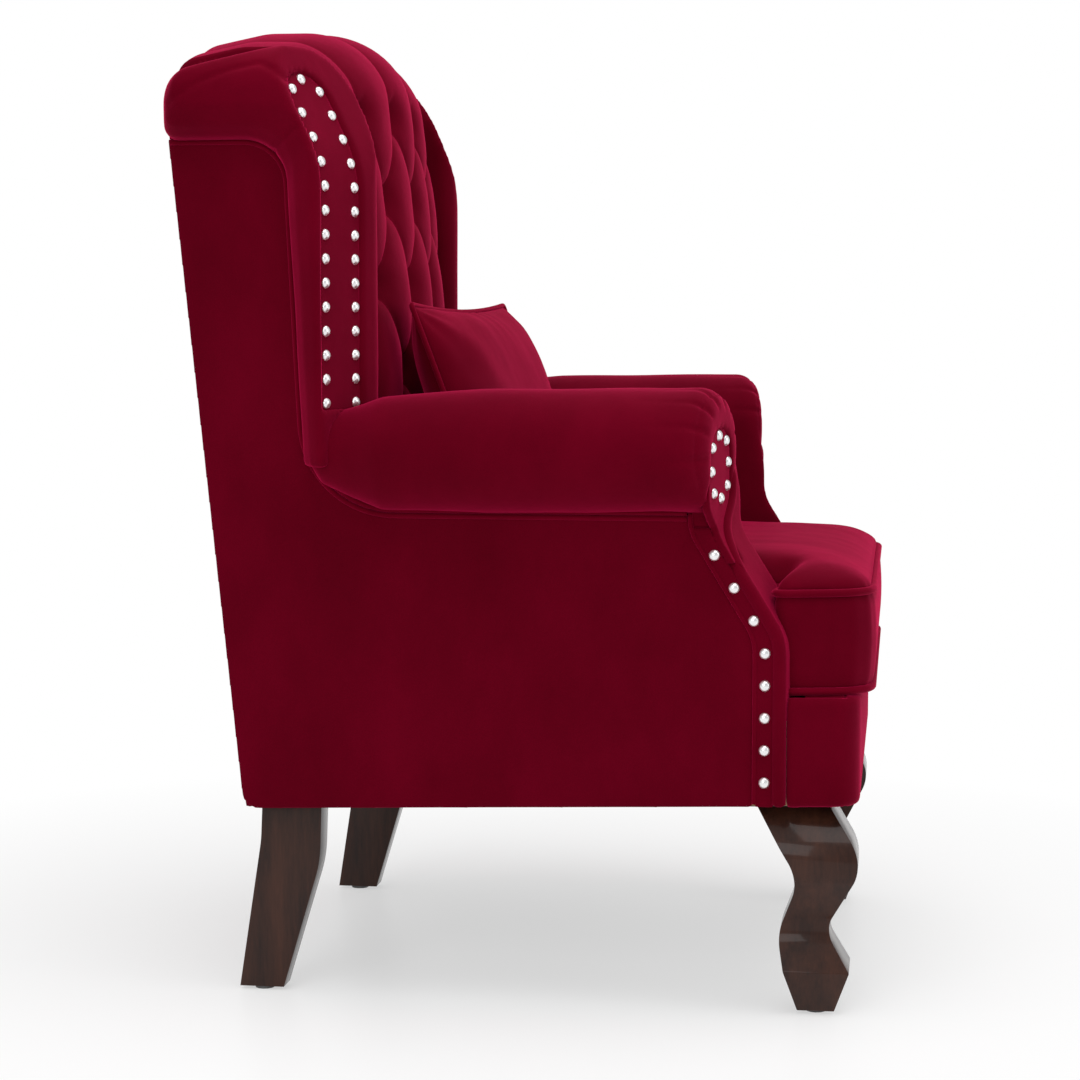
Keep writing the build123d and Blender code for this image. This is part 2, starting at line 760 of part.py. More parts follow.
def arm_board():
    """Board inside the roll, from the front post to the wing board."""
    low = BOARD_TOP_Z - ARM_BOARD_THICK
    face = rounded(
        (
            (ARM_FRONT_Y + SEAM_BAND + ARM_STRIP_WIDTH, low, 0),
            (post_front_y(low), low, 0),
            (post_front_y(low + ARM_BOARD_THICK), low + ARM_BOARD_THICK, 0),
            (ARM_FRONT_Y + SEAM_BAND + ARM_STRIP_WIDTH, low + ARM_BOARD_THICK, 0),
        )
    )
    board = from_side(face, FRAME_IN_X, FRAME_OUT_X)
    wide = from_above(
        rounded(
            (
                (FRAME_IN_X, ARM_FRONT_Y + SEAM_BAND + ARM_STRIP_WIDTH, 0),
                (FRAME_IN_X + ARM_BOARD_WIDTH, ARM_FRONT_Y + SEAM_BAND + ARM_STRIP_WIDTH, ARM_STRIP_WIDTH),
                (FRAME_IN_X + ARM_BOARD_WIDTH - ARM_STRIP_WIDTH, WING_FRONT_Y - OVERRUN, ARM_STRIP_WIDTH),
                (FRAME_IN_X, WING_FRONT_Y - OVERRUN, 0),
            )
        ),
        low,
        low + ARM_BOARD_THICK,
    )
    return board + wide


def arm_post():
    """Sawn front post of the arm, on the side rail, with the S of the arm's front."""
    z_low = base_z(ARM_FOOT_Y) + RAIL_HEIGHT
    z_high = BOARD_TOP_Z - ARM_BOARD_THICK
    band = arm_band(SEAM_BAND + ARM_RIM, ARM_POST_DEPTH, FRAME_IN_X, FRAME_OUT_X, z_low - OVERRUN, z_high)
    rail_room = sloping_bar(0, SIDE_X, FRONT_Y, REAR_Y, 0, RAIL_HEIGHT)
    return band - rail_room


def arm_panel_outline():
    """Scroll of the arm's front panel, narrowing to the strip at its outer side."""
    left = ROLL_X - ARM_PANEL_HALF
    right = ROLL_X + ARM_PANEL_HALF
    top = ARM_TOP_Z - ARM_PANEL_TOP_DROP
    out_x = SIDE_X + ARM_STRIP_PROUD
    in_x = out_x - ARM_PANEL_FOOT_WIDTH
    radius = ARM_PANEL_RADIUS
    return (
        (left, top, radius),
        (right, top, radius),
        (right, ARM_PANEL_NECK_Z + ARM_NECK_RADIUS, ARM_NECK_RADIUS),
        (out_x, ARM_PANEL_NECK_Z, ARM_NECK_RADIUS / 2),
        (out_x, ARM_PANEL_FOOT_Z, 0),
        (in_x, ARM_PANEL_FOOT_Z, 0),
        (in_x, ARM_PANEL_NECK_Z, ARM_NECK_RADIUS / 2),
        (left, ARM_PANEL_NECK_Z + ARM_NECK_RADIUS, ARM_NECK_RADIUS),
    )


def arm_head_panel():
    top = ARM_TOP_Z + OVERRUN
    band = arm_band(ARM_RECESS, PANEL_THICK, 0, 2 * SIDE_X, ARM_PANEL_FOOT_Z, top)
    outline = from_front(rounded(arm_panel_outline()), ARM_FOOT_Y - OVERRUN, ARM_FRONT_Y + 2 * OVERRUN)
    return turned(band & outline, ARM_TURN, ROLL_X, ARM_FRONT_Y)


def arm_strip():
    """Nailed strip on the outer side, along the S down to the base."""
    out_x = SIDE_X + ARM_STRIP_PROUD
    return arm_band(ARM_RIM, ARM_STRIP_WIDTH, FRAME_OUT_X, out_x, base_z(ARM_FOOT_Y), ARM_PANEL_NECK_Z)


def arm_front_panel():
    return arm_head_panel() + arm_strip()


def arm_recess():
    """Room in the pad in front of the head panel."""
    outline = from_front(rounded(arm_panel_outline()), ARM_FOOT_Y - OVERRUN, ARM_FRONT_Y + 2 * OVERRUN)
    top = ARM_TOP_Z + OVERRUN
    room = arm_band(-OVERRUN, OVERRUN + ARM_RECESS + PANEL_THICK, 0, 2 * SIDE_X, ARM_PANEL_FOOT_Z, top)
    return turned(room & outline, ARM_TURN, ROLL_X, ARM_FRONT_Y)


def arm_pad():
    z_rail = base_z(ARM_FOOT_Y) + RAIL_HEIGHT
    rear = post_foot_y() - WING_BACK_GAP
    slab_face = rounded(
        (
            (ARM_FOOT_Y - OVERRUN, base_z(ARM_FOOT_Y - OVERRUN) + RAIL_HEIGHT, 0),
            (rear, base_z(rear) + RAIL_HEIGHT, 0),
            (post_front_y(ROLL_Z) - WING_BACK_GAP, ROLL_Z, 0),
            (ARM_FOOT_Y - OVERRUN, ROLL_Z, 0),
        )
    )
    slab = from_side(slab_face, INSIDE_X, FRAME_IN_X)
    column = arm_band(-OVERRUN, OVERRUN + SEAM_BAND + ARM_RIM, INSIDE_X, FRAME_OUT_X, z_rail, ROLL_Z)
    edge = arm_band(-OVERRUN, OVERRUN + SEAM_BAND, FRAME_OUT_X - FIT, SIDE_X, z_rail, ROLL_Z)
    soft = arm_roll() + slab + column + edge
    soft = soft & arm_front_limit()
    rim = arm_band(0, ARM_RIM, FRAME_OUT_X, SIDE_X + ARM_RIM_BULGE, base_z(ARM_FOOT_Y), ARM_PANEL_FOOT_Z)
    soft = soft + rim
    soft = soft - arm_recess() - arm_front_panel() - arm_board() - arm_post() - wing_board()
    return soft - sloping_bar(0, FRAME_OUT_X, FRONT_Y, REAR_Y, 0, RAIL_HEIGHT)


# Wing: board, padded roll, recessed panel
def wing_front(shift):
    """Front line of the wing from the side, leaning back above the bend."""
    top = WING_TOP_Z + OVERRUN
    lean = (top - WING_BEND_Z) * tan(radians(WING_LEAN))
    return (
        (WING_FRONT_Y + shift, WING_FOOT_Z, 0),
        (WING_FRONT_Y + shift, WING_BEND_Z, WING_BEND_RADIUS),
        (WING_FRONT_Y + shift + lean, top, 0),
    )


def behind_wing_front(shift):
    rear = REAR_Y + 3 * OVERRUN
    corners = wing_front(shift) + ((rear, WING_TOP_Z + OVERRUN, 0), (rear, WING_FOOT_Z, 0))
    direction = (cos(radians(WING_TURN)), sin(radians(WING_TURN)), 0)
    reach = (SIDE_X + OVERRUN) / cos(radians(WING_TURN))
    face = rounded(corners)
    root = Plane.YZ.offset(ROLL_X) * face
    outward = extrude(root, reach, dir=direction)
    inward = extrude(root, reach, dir=tuple(-part for part in direction))
    return outward + inward


def wing_hook_face(inset):
    """Side view of the wing's padding: a hook over top and front, drawn in from the welt by the inset."""
    front = WING_FRONT_Y - 2 * OVERRUN
    rear = rear_y(WING_WELT_Z) - inset / 2
    return rounded(
        (
            (front, WING_FOOT_Z, 0),
            (front, WING_TOP_Z, 0),
            (WING_CREST_Y, WING_TOP_Z, WING_CREST_RADIUS),
            (rear, WING_TOP_Z - WING_REAR_DROP, WING_REAR_RADIUS - inset / 2),
            (rear, WING_WELT_Z + inset, WING_HEM_RADIUS),
            (WING_WELT_Y - inset, WING_WELT_Z + inset, WING_WELT_RADIUS),
            (WING_WELT_FOOT_Y - inset, WING_FOOT_Z, 0),
        )
    )


def wing_hook():
    """Padding outside the board, its outer side swelling out from the welt."""
    sections = []
    for share, inset in WING_BULGE:
        x = SIDE_X + (WING_OUT_X - SIDE_X) * share
        sections.append(Plane.YZ.offset(x) * wing_hook_face(inset))
    return from_side(wing_hook_face(0), INSIDE_X, SIDE_X) + loft(sections, ruled=True)


def wing_elevation():
    """Front view of the wing's roll."""
    return from_front(
        rounded(
            (
                (INSIDE_X, WING_FOOT_Z, 0),
                (INSIDE_X, WING_TOP_Z, WING_ROLL_RADIUS),
                (WING_OUT_X, WING_TOP_Z, WING_ROLL_RADIUS),
                (WING_OUT_X, WING_FOOT_Z, 0),
            )
        ),
        0,
        REAR_Y + 3 * OVERRUN,
    )


def wing_plan():
    """Plan of the wing's padding with its rounded front corners."""
    turn = tan(radians(WING_TURN))
    inner = WING_FRONT_Y - (ROLL_X - INSIDE_X) * turn
    outer = WING_FRONT_Y + (WING_OUT_X - ROLL_X) * turn
    rear = REAR_Y + 3 * OVERRUN
    return from_above(
        rounded(
            (
                (INSIDE_X, inner, WING_SIDE_RADIUS),
                (WING_OUT_X, outer, WING_SIDE_RADIUS),
                (WING_OUT_X, rear, 0),
                (INSIDE_X, rear, 0),
            )
        ),
        WING_FOOT_Z,
        CREST_Z,
    )


def wing_board():
    """Sawn board of the wing between post and roll, with windows."""
    front = WING_FRONT_Y + WING_BOARD_INSET
    low = BOARD_TOP_Z
    face = rounded(
        (
            (front, low, 0),
            (front, WING_BOARD_TOP_Z, WING_BOARD_RADIUS),
            (post_front_y(WING_BOARD_TOP_Z) + POST_DEPTH, WING_BOARD_TOP_Z, 0),
            (post_front_y(POST_TOP_Z) + POST_DEPTH, POST_TOP_Z, 0),
            (post_front_y(POST_TOP_Z), POST_TOP_Z, 0),
            (post_front_y(low), low, 0),
        )
    )
    board = from_side(face, FRAME_IN_X, FRAME_OUT_X)
    for step in range(WING_WINDOW_COUNT):
        z = low + WING_WINDOW_PITCH * (step + 1 / 2)
        y = (front + post_front_y(z)) / 2
        window = Pos(y, z) * Rectangle(WING_WINDOW_DEPTH, WING_WINDOW_HEIGHT)
        board = board - from_side(window, 0, SIDE_X)
    return board


def wing_panel_outline():
    left = WING_PANEL_X - WING_PANEL_HALF
    right = WING_PANEL_X + WING_PANEL_HALF
    return (
        (left, WING_PANEL_FOOT_Z, 0),
        (left, WING_PANEL_TOP_Z, WING_PANEL_RADIUS),
        (right, WING_PANEL_TOP_Z, WING_PANEL_RADIUS),
        (right, WING_PANEL_FOOT_Z, 0),
    )


def wing_panel_prism():
    return from_front(rounded(wing_panel_outline()), 0, REAR_Y)


def wing_front_panel():
    shell = behind_wing_front(WING_RECESS) - behind_wing_front(WING_RECESS + PANEL_THICK)
    return (shell & wing_panel_prism()) - arm_roll()


def wing_recess():
    return wing_panel_prism() - behind_wing_front(WING_RECESS + PANEL_THICK)


def wing_pad():
    hook = wing_hook() & wing_elevation()
    slab_face = rounded(
        (
            (WING_FRONT_Y - 2 * OVERRUN, WING_FOOT_Z, 0),
            (WING_FRONT_Y - 2 * OVERRUN, WING_WELT_Z + WING_HEM_RADIUS, 0),
            (post_front_y(WING_WELT_Z) - WING_BACK_GAP, WING_WELT_Z + WING_HEM_RADIUS, 0),
            (post_front_y(WING_FOOT_Z) - WING_BACK_GAP, WING_FOOT_Z, 0),
        )
    )
    slab = from_side(slab_face, INSIDE_X, FRAME_IN_X)
    soft = (hook + slab) & behind_wing_front(0) & wing_plan()
    soft = soft - wing_recess() - wing_board() - arm_board() - arm_roll() - arm_pad_core()
    return soft - back_post() - crest_rail() - outside_back_panel()


def arm_pad_core():
    """Inner pad of the arm under the wing."""
    return from_above(
        rounded(
            (
                (INSIDE_X, 0, 0),
                (FRAME_IN_X, 0, 0),
                (FRAME_IN_X, REAR_Y + OVERRUN, 0),
                (INSIDE_X, REAR_Y + OVERRUN, 0),
            )
        ),
        0,
        ROLL_Z,
    )


# Outside panels and the welt between them and the pads
def side_border():
    """Corners of the line where the side panel meets the pads, from the seam up to the rear."""
    return (
        (ARM_FRONT_Y + SEAM_BAND, ARM_WELT_Z, 0),
        (WING_WELT_FOOT_Y - WELT_RADIUS / 2, ARM_WELT_Z, ARM_WELT_RADIUS),
        (WING_WELT_Y, WING_WELT_Z, WING_WELT_RADIUS),
        (rear_y(WING_WELT_Z), WING_WELT_Z, 0),
    )


def outside_side_panel():
    seam = tuple(reversed(arm_s(SEAM_BAND)))[:-1]
    foot_y, foot_z, _ = seam[0]
    corners = (
        side_border()
        + ((rear_y(BASE_REAR_Z), base_z(REAR_Y), PANEL_CORNER),)
        + ((foot_y, foot_z, SEAM_FOOT_RADIUS),)
        + seam[1:]
    )
    panel = from_side(rounded(corners), FRAME_OUT_X, SIDE_X)
    return panel - arm_roll() - arm_pad() - wing_pad()


def side_welt():
    """Round welt along the border of the side panel."""
    corners = side_border()
    points = [(y, z) for y, z, _ in corners]
    radii = [radius for _, _, radius in corners[1:-1]]
    line = FilletPolyline(*points, radius=radii)
    welt = extrude(Plane.YZ.offset(SIDE_X) * trace(line, 2 * WELT_RADIUS), 2 * WELT_RADIUS, taper=WELT_TAPER)
    return welt - arm_pad() - wing_pad() - arm_front_panel()


def outside_back_panel():
    """Raked rear panel with an arched top between the wings."""
    low = base_z(REAR_Y)
    half = FRAME_OUT_X
    side_top = CREST_REAR_Z - CREST_RAIL_ARCH
    outline = make_face(
        [
            Line((-half, low), (half, low)),
            Line((half, low), (half, WING_WELT_Z)),
            Line((half, WING_WELT_Z), (INSIDE_X, WING_WELT_Z)),
            Line((INSIDE_X, WING_WELT_Z), (INSIDE_X, side_top)),
            ThreePointArc((INSIDE_X, side_top), (0, CREST_REAR_Z), (-INSIDE_X, side_top)),
            Line((-INSIDE_X, side_top), (-INSIDE_X, WING_WELT_Z)),
            Line((-INSIDE_X, WING_WELT_Z), (-half, WING_WELT_Z)),
            Line((-half, WING_WELT_Z), (-half, low)),
        ]
    )
    slab = raked_slab(POST_DEPTH, SKIN, low, CREST_Z, half)
    return slab & from_front(outline, 0, REAR_Y + CREST_Z)


def front_border():
    """Padded front of the seat with short returns along the sides."""
    rear = arm_face_y(FRAME_OUT_X, ARM_FOOT_Y) - BORDER_GAP
    outer = sloping_bar(-SIDE_X, SIDE_X, FRONT_Y - BORDER_PAD, rear, 0, BORDER_HEIGHT)
    uprights = outer.edges().filter_by(Axis.Z).group_by(Axis.Y)[0]
    outer = fillet(uprights, BORDER_CORNER)
    front_face = outer.faces().sort_by(Axis.Y)[0]
    outer = fillet(front_face.edges().filter_by(Axis.X), BORDER_EDGE)
    room = sloping_bar(-FRAME_OUT_X, FRAME_OUT_X, FRONT_Y, rear + OVERRUN, -OVERRUN, BORDER_HEIGHT + OVERRUN)
    return outer - room


# Tufted back
def back_front_y(z):
    """Front of the back pad at the centre line."""
    return BACK_FRONT_Y + max(0, z - BACK_BEND_Z) * tan(radians(BACK_LEAN))


def tuft_surface_y(x, z, depth):
    """Front surface of the tufted pad, crowned across, pushed in by depth."""
    return back_front_y(z) + BACK_CROWN * (x / INSIDE_X) ** 2 + depth


def button_rows():
    """Buttons of the diamond grid, rows from the top, even rows shifted by half a pitch."""
    rows = []
    for row in range(TUFT_ROWS):
        z = TUFT_TOP_Z - TUFT_PITCH_Z * row
        count = 4 if row % 2 == 0 else 3
        first = -(count - 1) / 2 * TUFT_PITCH_X
        rows.append([(first + TUFT_PITCH_X * step, z) for step in range(count)])
    return rows


def buttons():
    return [place for row in button_rows() for place in row]


def triangle(a, b, c):
    return Face(Wire.make_polygon([a, b, c], close=True))


def tufted_block():
    """Block whose front is the faceted tufted surface: diamonds between buttons puff to their middles."""
    reach = TUFT_PITCH_X / 2
    columns = 2 * ceil(INSIDE_X / reach / 2) + 2
    half_rows = 2 * (TUFT_ROWS + 3)
    top = TUFT_TOP_Z + TUFT_PITCH_Z * 2
    places = {(round(x), round(z)) for x, z in buttons()}
    lowest = TUFT_TOP_Z - TUFT_PITCH_Z * (TUFT_ROWS - 1)

    def node(column, row):
        """Vertex of the half-pitch grid: a button, a pleat crossing or a puffed middle."""
        x = (column - columns / 2) * reach
        z = top - row * TUFT_PITCH_Z / 2
        if z < lowest - TUFT_PITCH_Z / 4:
            depth = 0
        elif (round(x), round(z)) in places:
            depth = TUFT_DEPTH
        elif row % 2:
            depth = TUFT_PLEAT
        else:
            depth = 0
        if abs(x) > INSIDE_X:
            depth = TUFT_PLEAT / 2
        return Vector(x, tuft_surface_y(x, z, depth), z)

    rear = REAR_Y + 3 * OVERRUN
    rows = half_rows
    faces = []
    for row in range(rows):
        for column in range(columns):
            a, b = node(column, row), node(column + 1, row)
            c, d = node(column + 1, row + 1), node(column, row + 1)
            if (row + column) % 2:
                faces += [triangle(a, b, c), triangle(a, c, d)]
            else:
                faces += [triangle(a, b, d), triangle(b, c, d)]

    def behind(point):
        return Vector(point.X, rear, point.Z)

    def wall(line):
        made = []
        for a, b in zip(line, line[1:]):
            made.append(Face(Wire.make_polygon([a, b, behind(b), behind(a)], close=True)))
        return made

    top_line = [node(column, 0) for column in range(columns + 1)]
    low_line = [node(column, rows) for column in range(columns + 1)]
    left_line = [node(0, row) for row in range(rows + 1)]
    right_line = [node(columns, row) for row in range(rows + 1)]
    faces += wall(top_line) + wall(low_line) + wall(left_line) + wall(right_line)
    ends = [behind(p) for p in top_line] + [behind(p) for p in right_line[1:]]
    ends += [behind(p) for p in reversed(low_line[:-1])] + [behind(p) for p in reversed(left_line[1:-1])]
    faces.append(Face(Wire.make_polygon(ends, close=True)))
    return Solid(Shell(faces))


def back_profile():
    """Side view of the back pad, with the crest rolled over the top rail."""
    low_y = post_front_y(base_z(CUSHION_REAR_Y) + DECK_TOP)
    low = base_z(BACK_FRONT_Y) + DECK_TOP + FIT
    front_low = BACK_FRONT_Y
    top_front = back_front_y(CREST_Z)
    rear_top = rear_y(CREST_Z) - SKIN
    inner = -WEB_THICK - FIT
    rail_top = CREST_RAIL_Z + CREST_RAIL_RISE + FIT
    return rounded(
        (
            (front_low, low, BACK_FOOT_RADIUS),
            (front_low, BACK_BEND_Z, BACK_BEND_RADIUS),
            (top_front, CREST_Z, CREST_FRONT_RADIUS),
            (CREST_FALL_Y, CREST_Z, CREST_FALL_RADIUS),
            (rear_top, CREST_Z - CREST_FALL, CREST_REAR_RADIUS),
            (rear_y(CREST_REAR_Z), CREST_REAR_Z, 0),
            (rear_y(CREST_REAR_Z) - SKIN, CREST_REAR_Z, 0),
            (rear_y(rail_top) - SKIN, rail_top, 0),
            (post_front_y(rail_top) + inner, rail_top, 0),
            (low_y + inner, base_z(low_y + inner) + DECK_TOP + FIT, 0),
        )
    )


def back_elevation():
    """Front view of the back pad, arched at the top."""
    low = BASE_REAR_Z
    shoulder = SHOULDER_Z
    return make_face(
        [
            Line((-INSIDE_X, low), (INSIDE_X, low)),
            Line((INSIDE_X, low), (INSIDE_X, shoulder)),
            ThreePointArc((INSIDE_X, shoulder), (0, CREST_Z), (-INSIDE_X, shoulder)),
            Line((-INSIDE_X, shoulder), (-INSIDE_X, low)),
        ]
    )


def button(place):
    x, z = place
    y = tuft_surface_y(x, z, TUFT_DEPTH)
    disc = RegularPolygon(BUTTON_RADIUS, DOME_SIDES)
    crown = Pos(0, 0, BUTTON_THICK) * RegularPolygon(BUTTON_RADIUS * DOME_SHARE, DOME_SIDES)
    root = extrude(disc, -BUTTON_THICK)
    return Pos(x, y, z) * Rot(90 - BACK_LEAN, 0, 0) * (root + loft([disc, crown], ruled=True))


def back_buttons():
    return [button(place) for place in buttons()]


def back_pad():
    pad = from_side(back_profile(), -INSIDE_X, INSIDE_X) & from_front(back_elevation(), 0, REAR_Y + CREST_Z)
    pad = pad & tufted_block()
    for piece in back_buttons():
        pad = pad - piece
    return pad - outside_back_panel() - crest_rail()


# Nails
def nail():
    """Domed head of a nail, in facets."""
    foot = RegularPolygon(NAIL_RADIUS, DOME_SIDES)
    crown = Pos(0, 0, NAIL_HEIGHT) * RegularPolygon(NAIL_RADIUS * DOME_SHARE, DOME_SIDES)
    return loft([foot, crown], ruled=True)


def front_line(corners, radius):
    """Front line of a panel, seen from the side."""
    return Wire(FilletPolyline(*[(y, z) for y, z, _ in corners], radius=radius).edges())


def point_at(line, z):
    """Depth of a front line at a height, and how much depth it gains with each unit of height."""
    low, high = 0.0, 1.0
    rising = (line @ 1).Y > (line @ 0).Y
    for _ in range(30):
        middle = (low + high) / 2
        if ((line @ middle).Y > z) == rising:
            high = middle
        else:
            low = middle
    along = line % low
    return (line @ low).X, along.X / along.Y


def seated_nail(x, y, z, normal):
    """Nail on a panel, its head along the panel's normal."""
    out = Vector(*normal).normalized()
    return Plane(origin=Vector(x, y, z) + out * NAIL_SEAT, z_dir=out) * nail()


def steps_along(length, pitch):
    return max(1, round(length / pitch))


def wing_nails():
    """Two columns up the wing's panel that join over its top."""
    half = WING_PANEL_HALF - NAIL_INSET
    top = WING_PANEL_TOP_Z - NAIL_INSET
    foot = WING_PANEL_FOOT_Z + NAIL_INSET
    corners = ((-half, foot), (-half, top), (half, top), (half, foot))
    path = Wire(FilletPolyline(*corners, radius=WING_PANEL_RADIUS - NAIL_INSET).edges())
    front = front_line(wing_front(WING_RECESS), WING_BEND_RADIUS)
    turn = tan(radians(WING_TURN))
    count = steps_along(path.length, NAIL_PITCH)
    nails = []
    for step in range(count + 1):
        place = path @ (step / count)
        y, slant = point_at(front, place.Y)
        x = WING_PANEL_X + place.X
        nails.append(seated_nail(x, y + (x - ROLL_X) * turn, place.Y, (turn, -1, slant)))
    return nails


def arm_nails():
    """A ring round the scroll and one column down the strip."""
    scroll = [corner[:2] for corner in arm_panel_outline()]
    corners = (scroll[-1], scroll[0], scroll[1], scroll[2])
    face = rounded([(x, z, ARM_PANEL_RADIUS) for x, z in corners])
    ring = offset(face, -NAIL_INSET).face().outer_wire()
    front = front_line(arm_s(ARM_RECESS), ARM_S_RADIUS)
    count = steps_along(ring.length, NAIL_PITCH)
    nails = []
    for step in range(count):
        place = ring @ (step / count)
        y, slant = point_at(front, place.Y)
        straight = seated_nail(place.X, y, place.Y, (0, -1, slant))
        nails.append(turned(straight, ARM_TURN, ROLL_X, ARM_FRONT_Y))
    low = base_z(ARM_FOOT_Y) + NAIL_PITCH
    high = ARM_PANEL_FOOT_Z + NAIL_INSET
    middle = front_line(arm_s(ARM_RIM + ARM_STRIP_WIDTH / 2), ARM_S_RADIUS)
    count = steps_along(high - low, STRIP_PITCH)
    for step in range(count + 1):
        z = low + (high - low) * step / count
        y, _ = point_at(middle, z)
        nails.append(seated_nail(SIDE_X + ARM_STRIP_PROUD, y, z, (1, 0, 0)))
    return nails


# Seat cushion and its welts
def arm_front_at(z):
    """Depth of the arm's front at the roll's centre, at a height."""
    return point_at(front_line(arm_s(0), ARM_S_RADIUS), z)[0]


def cushion_corners(grow, height):
    """T-shaped outline of the cushion at a height above the slope, grown outward by grow."""
    ear_z = base_z(ARM_FOOT_Y) + height
    ear_rear = arm_front_at(ear_z - WELT_RADIUS) - CUSHION_EAR_GAP - WELT_RADIUS
    shrink = min(grow, 0)
    inner = INSIDE_X - CUSHION_SIDE_GAP - WELT_RADIUS + shrink
    ear_in = arm_face_y(inner, ear_rear) + shrink
    ear_out = arm_face_y(CUSHION_EAR_X + grow, ear_rear) + shrink
    left = (
        (inner, CUSHION_REAR_Y + shrink, CUSHION_REAR_CORNER + shrink),
        (inner, ear_in, CUSHION_INNER_CORNER - shrink),
        (CUSHION_EAR_X + grow, ear_out, CUSHION_EAR_CORNER + shrink),
        (CUSHION_EAR_X + grow, CUSHION_FRONT_Y - grow, CUSHION_CORNER + grow),
    )
    return left + tuple((-x, y, radius) for x, y, radius in reversed(left))


def stepped_outline(corners):
    """Points of an outline whose round corners are cut in a few equal steps."""
    points = []
    count = len(corners)
    for index, (x, y, radius) in enumerate(corners):
        here = Vector(x, y)
        back = (Vector(*corners[index - 1][:2]) - here).normalized()
        ahead = (Vector(*corners[(index + 1) % count][:2]) - here).normalized()
        half_turn = radians(back.get_angle(ahead)) / 2
        centre = here + (back + ahead).normalized() * (radius / sin(half_turn))
        first = here + back * (radius / tan(half_turn)) - centre
        last = here + ahead * (radius / tan(half_turn)) - centre
        span = atan2(first.X * last.Y - first.Y * last.X, first.X * last.X + first.Y * last.Y)
        for step in range(CORNER_STEPS + 1):
            turn = span * step / CORNER_STEPS
            spoke = Vector(
                first.X * cos(turn) - first.Y * sin(turn), first.X * sin(turn) + first.Y * cos(turn)
            )
            points.append(centre + spoke)
    return points


def drawn_in(corners, share):
    """Corners drawn in towards the middle, the ears kept clear of the arms."""
    middle = (CUSHION_FRONT_Y + CUSHION_REAR_Y) / 2
    drawn = []
    for x, y, radius in corners:
        inward = middle + (y - middle) * share
        is_ear = middle > y > CUSHION_FRONT_Y + CUSHION_CORNER
        if is_ear and CUSHION_EAR_X * share > INSIDE_X - CUSHION_CORNER:
            inward = y
        drawn.append((x * share, inward, radius * share))
    return drawn


def cushion_section(grow, height, outline_height, share=1):
    """Outline of the cushion at a height, with its ears as they are at the outline's height."""
    points = stepped_outline(drawn_in(cushion_corners(grow, outline_height), share))
    from_front_edge = [point - Vector(0, FRONT_Y) for point in points]
    return seat_plane(height) * make_face(Polyline(*from_front_edge, close=True))


def low_welt_height():
    return DECK_TOP + WELT_RADIUS + FIT


def top_welt_height():
    return DECK_TOP + CUSHION_HEM - WELT_RADIUS - FIT


def seat_cushion():
    low = DECK_TOP + FIT
    top = DECK_TOP + CUSHION_HEM
    inset = -WELT_RADIUS - WELT_ROOM
    seam = 2 * WELT_RADIUS + 2 * FIT
    low_welt, top_welt = low_welt_height(), top_welt_height()
    sections = [
        cushion_section(inset, low, low_welt),
        cushion_section(inset, low + seam, low_welt),
        cushion_section(0, low + seam + FIT, low_welt),
    ]
    for share, bulge in CUSHION_SIDE_SHARES:
        height = low + (top - low) * share
        sections.append(cushion_section(CUSHION_BULGE * bulge, height, height))
    sections += [
        cushion_section(0, top - seam - FIT, top_welt),
        cushion_section(inset, top - seam, top_welt),
        cushion_section(inset, top, top_welt),
    ]
    for share, up in CUSHION_CROWN_SHARES:
        height = top + CUSHION_CROWN * up
        sections.append(cushion_section(inset, height, top_welt, share))
    return loft(sections, ruled=True)


def cushion_piping(height):
    """Welt round the edge of the cushion, its middle at a height."""
    chamfer = WELT_RADIUS * (2 - sqrt(2))
    steps = (
        (-WELT_RADIUS, WELT_RADIUS - chamfer),
        (chamfer - WELT_RADIUS, WELT_RADIUS),
        (WELT_RADIUS - chamfer, WELT_RADIUS),
        (WELT_RADIUS, WELT_RADIUS - chamfer),
    )

    def ring_section(grow, up):
        points = stepped_outline(cushion_corners(0, height))
        outline = make_face(Polyline(*[point - Vector(0, FRONT_Y) for point in points], close=True))
        return seat_plane(height + up) * offset(outline, grow, kind=Kind.INTERSECTION)

    outer = loft([ring_section(grow, up) for up, grow in steps], ruled=True)
    hollow = loft([ring_section(-WELT_RADIUS, up * WELT_RADIUS) for up in (-2, 2)], ruled=True)
    return outer - hollow


# Throw pillow
def pillow_plane():
    """Middle plane of the pillow, its foot on the cushion's crown."""
    foot_z = base_z(PILLOW_FOOT_Y) + DECK_TOP + CUSHION_HEM + CUSHION_CROWN + PILLOW_WELT * 2 - PILLOW_SINK
    rise = PILLOW_HEIGHT / 2
    lean = radians(PILLOW_LEAN)
    turn = radians(PILLOW_TURN)
    centre = (0, PILLOW_FOOT_Y + rise * sin(lean), foot_z + rise * cos(lean))
    facing = (-sin(turn) * cos(lean), -cos(turn) * cos(lean), sin(lean))
    return Plane(origin=centre, x_dir=(cos(turn), -sin(turn), 0), z_dir=facing)


def pillow_face(share, grow):
    """Rectangle with pointed corners and sides drawn in."""
    half_x = PILLOW_WIDTH / 2 * share + grow
    half_z = PILLOW_HEIGHT / 2 * share + grow
    inside = PILLOW_DRAW_IN * share
    a, b, c, d = (-half_x, -half_z), (half_x, -half_z), (half_x, half_z), (-half_x, half_z)
    return make_face(
        [
            ThreePointArc(a, (0, inside - half_z), b),
            ThreePointArc(b, (half_x - inside, 0), c),
            ThreePointArc(c, (0, half_z - inside), d),
            ThreePointArc(d, (inside - half_x, 0), a),
        ]
    )


def throw_pillow():
    plane = pillow_plane()
    half = PILLOW_THICK / 2
    levels = [(share, half * out) for share, out in PILLOW_SHARES]
    below = [(share, -out) for share, out in reversed(levels)]
    stack = below + [(1, -PILLOW_WELT), (1, PILLOW_WELT)] + levels
    faces = [plane.offset(out) * pillow_face(share, 0) for share, out in stack]
    return loft(faces, ruled=True)


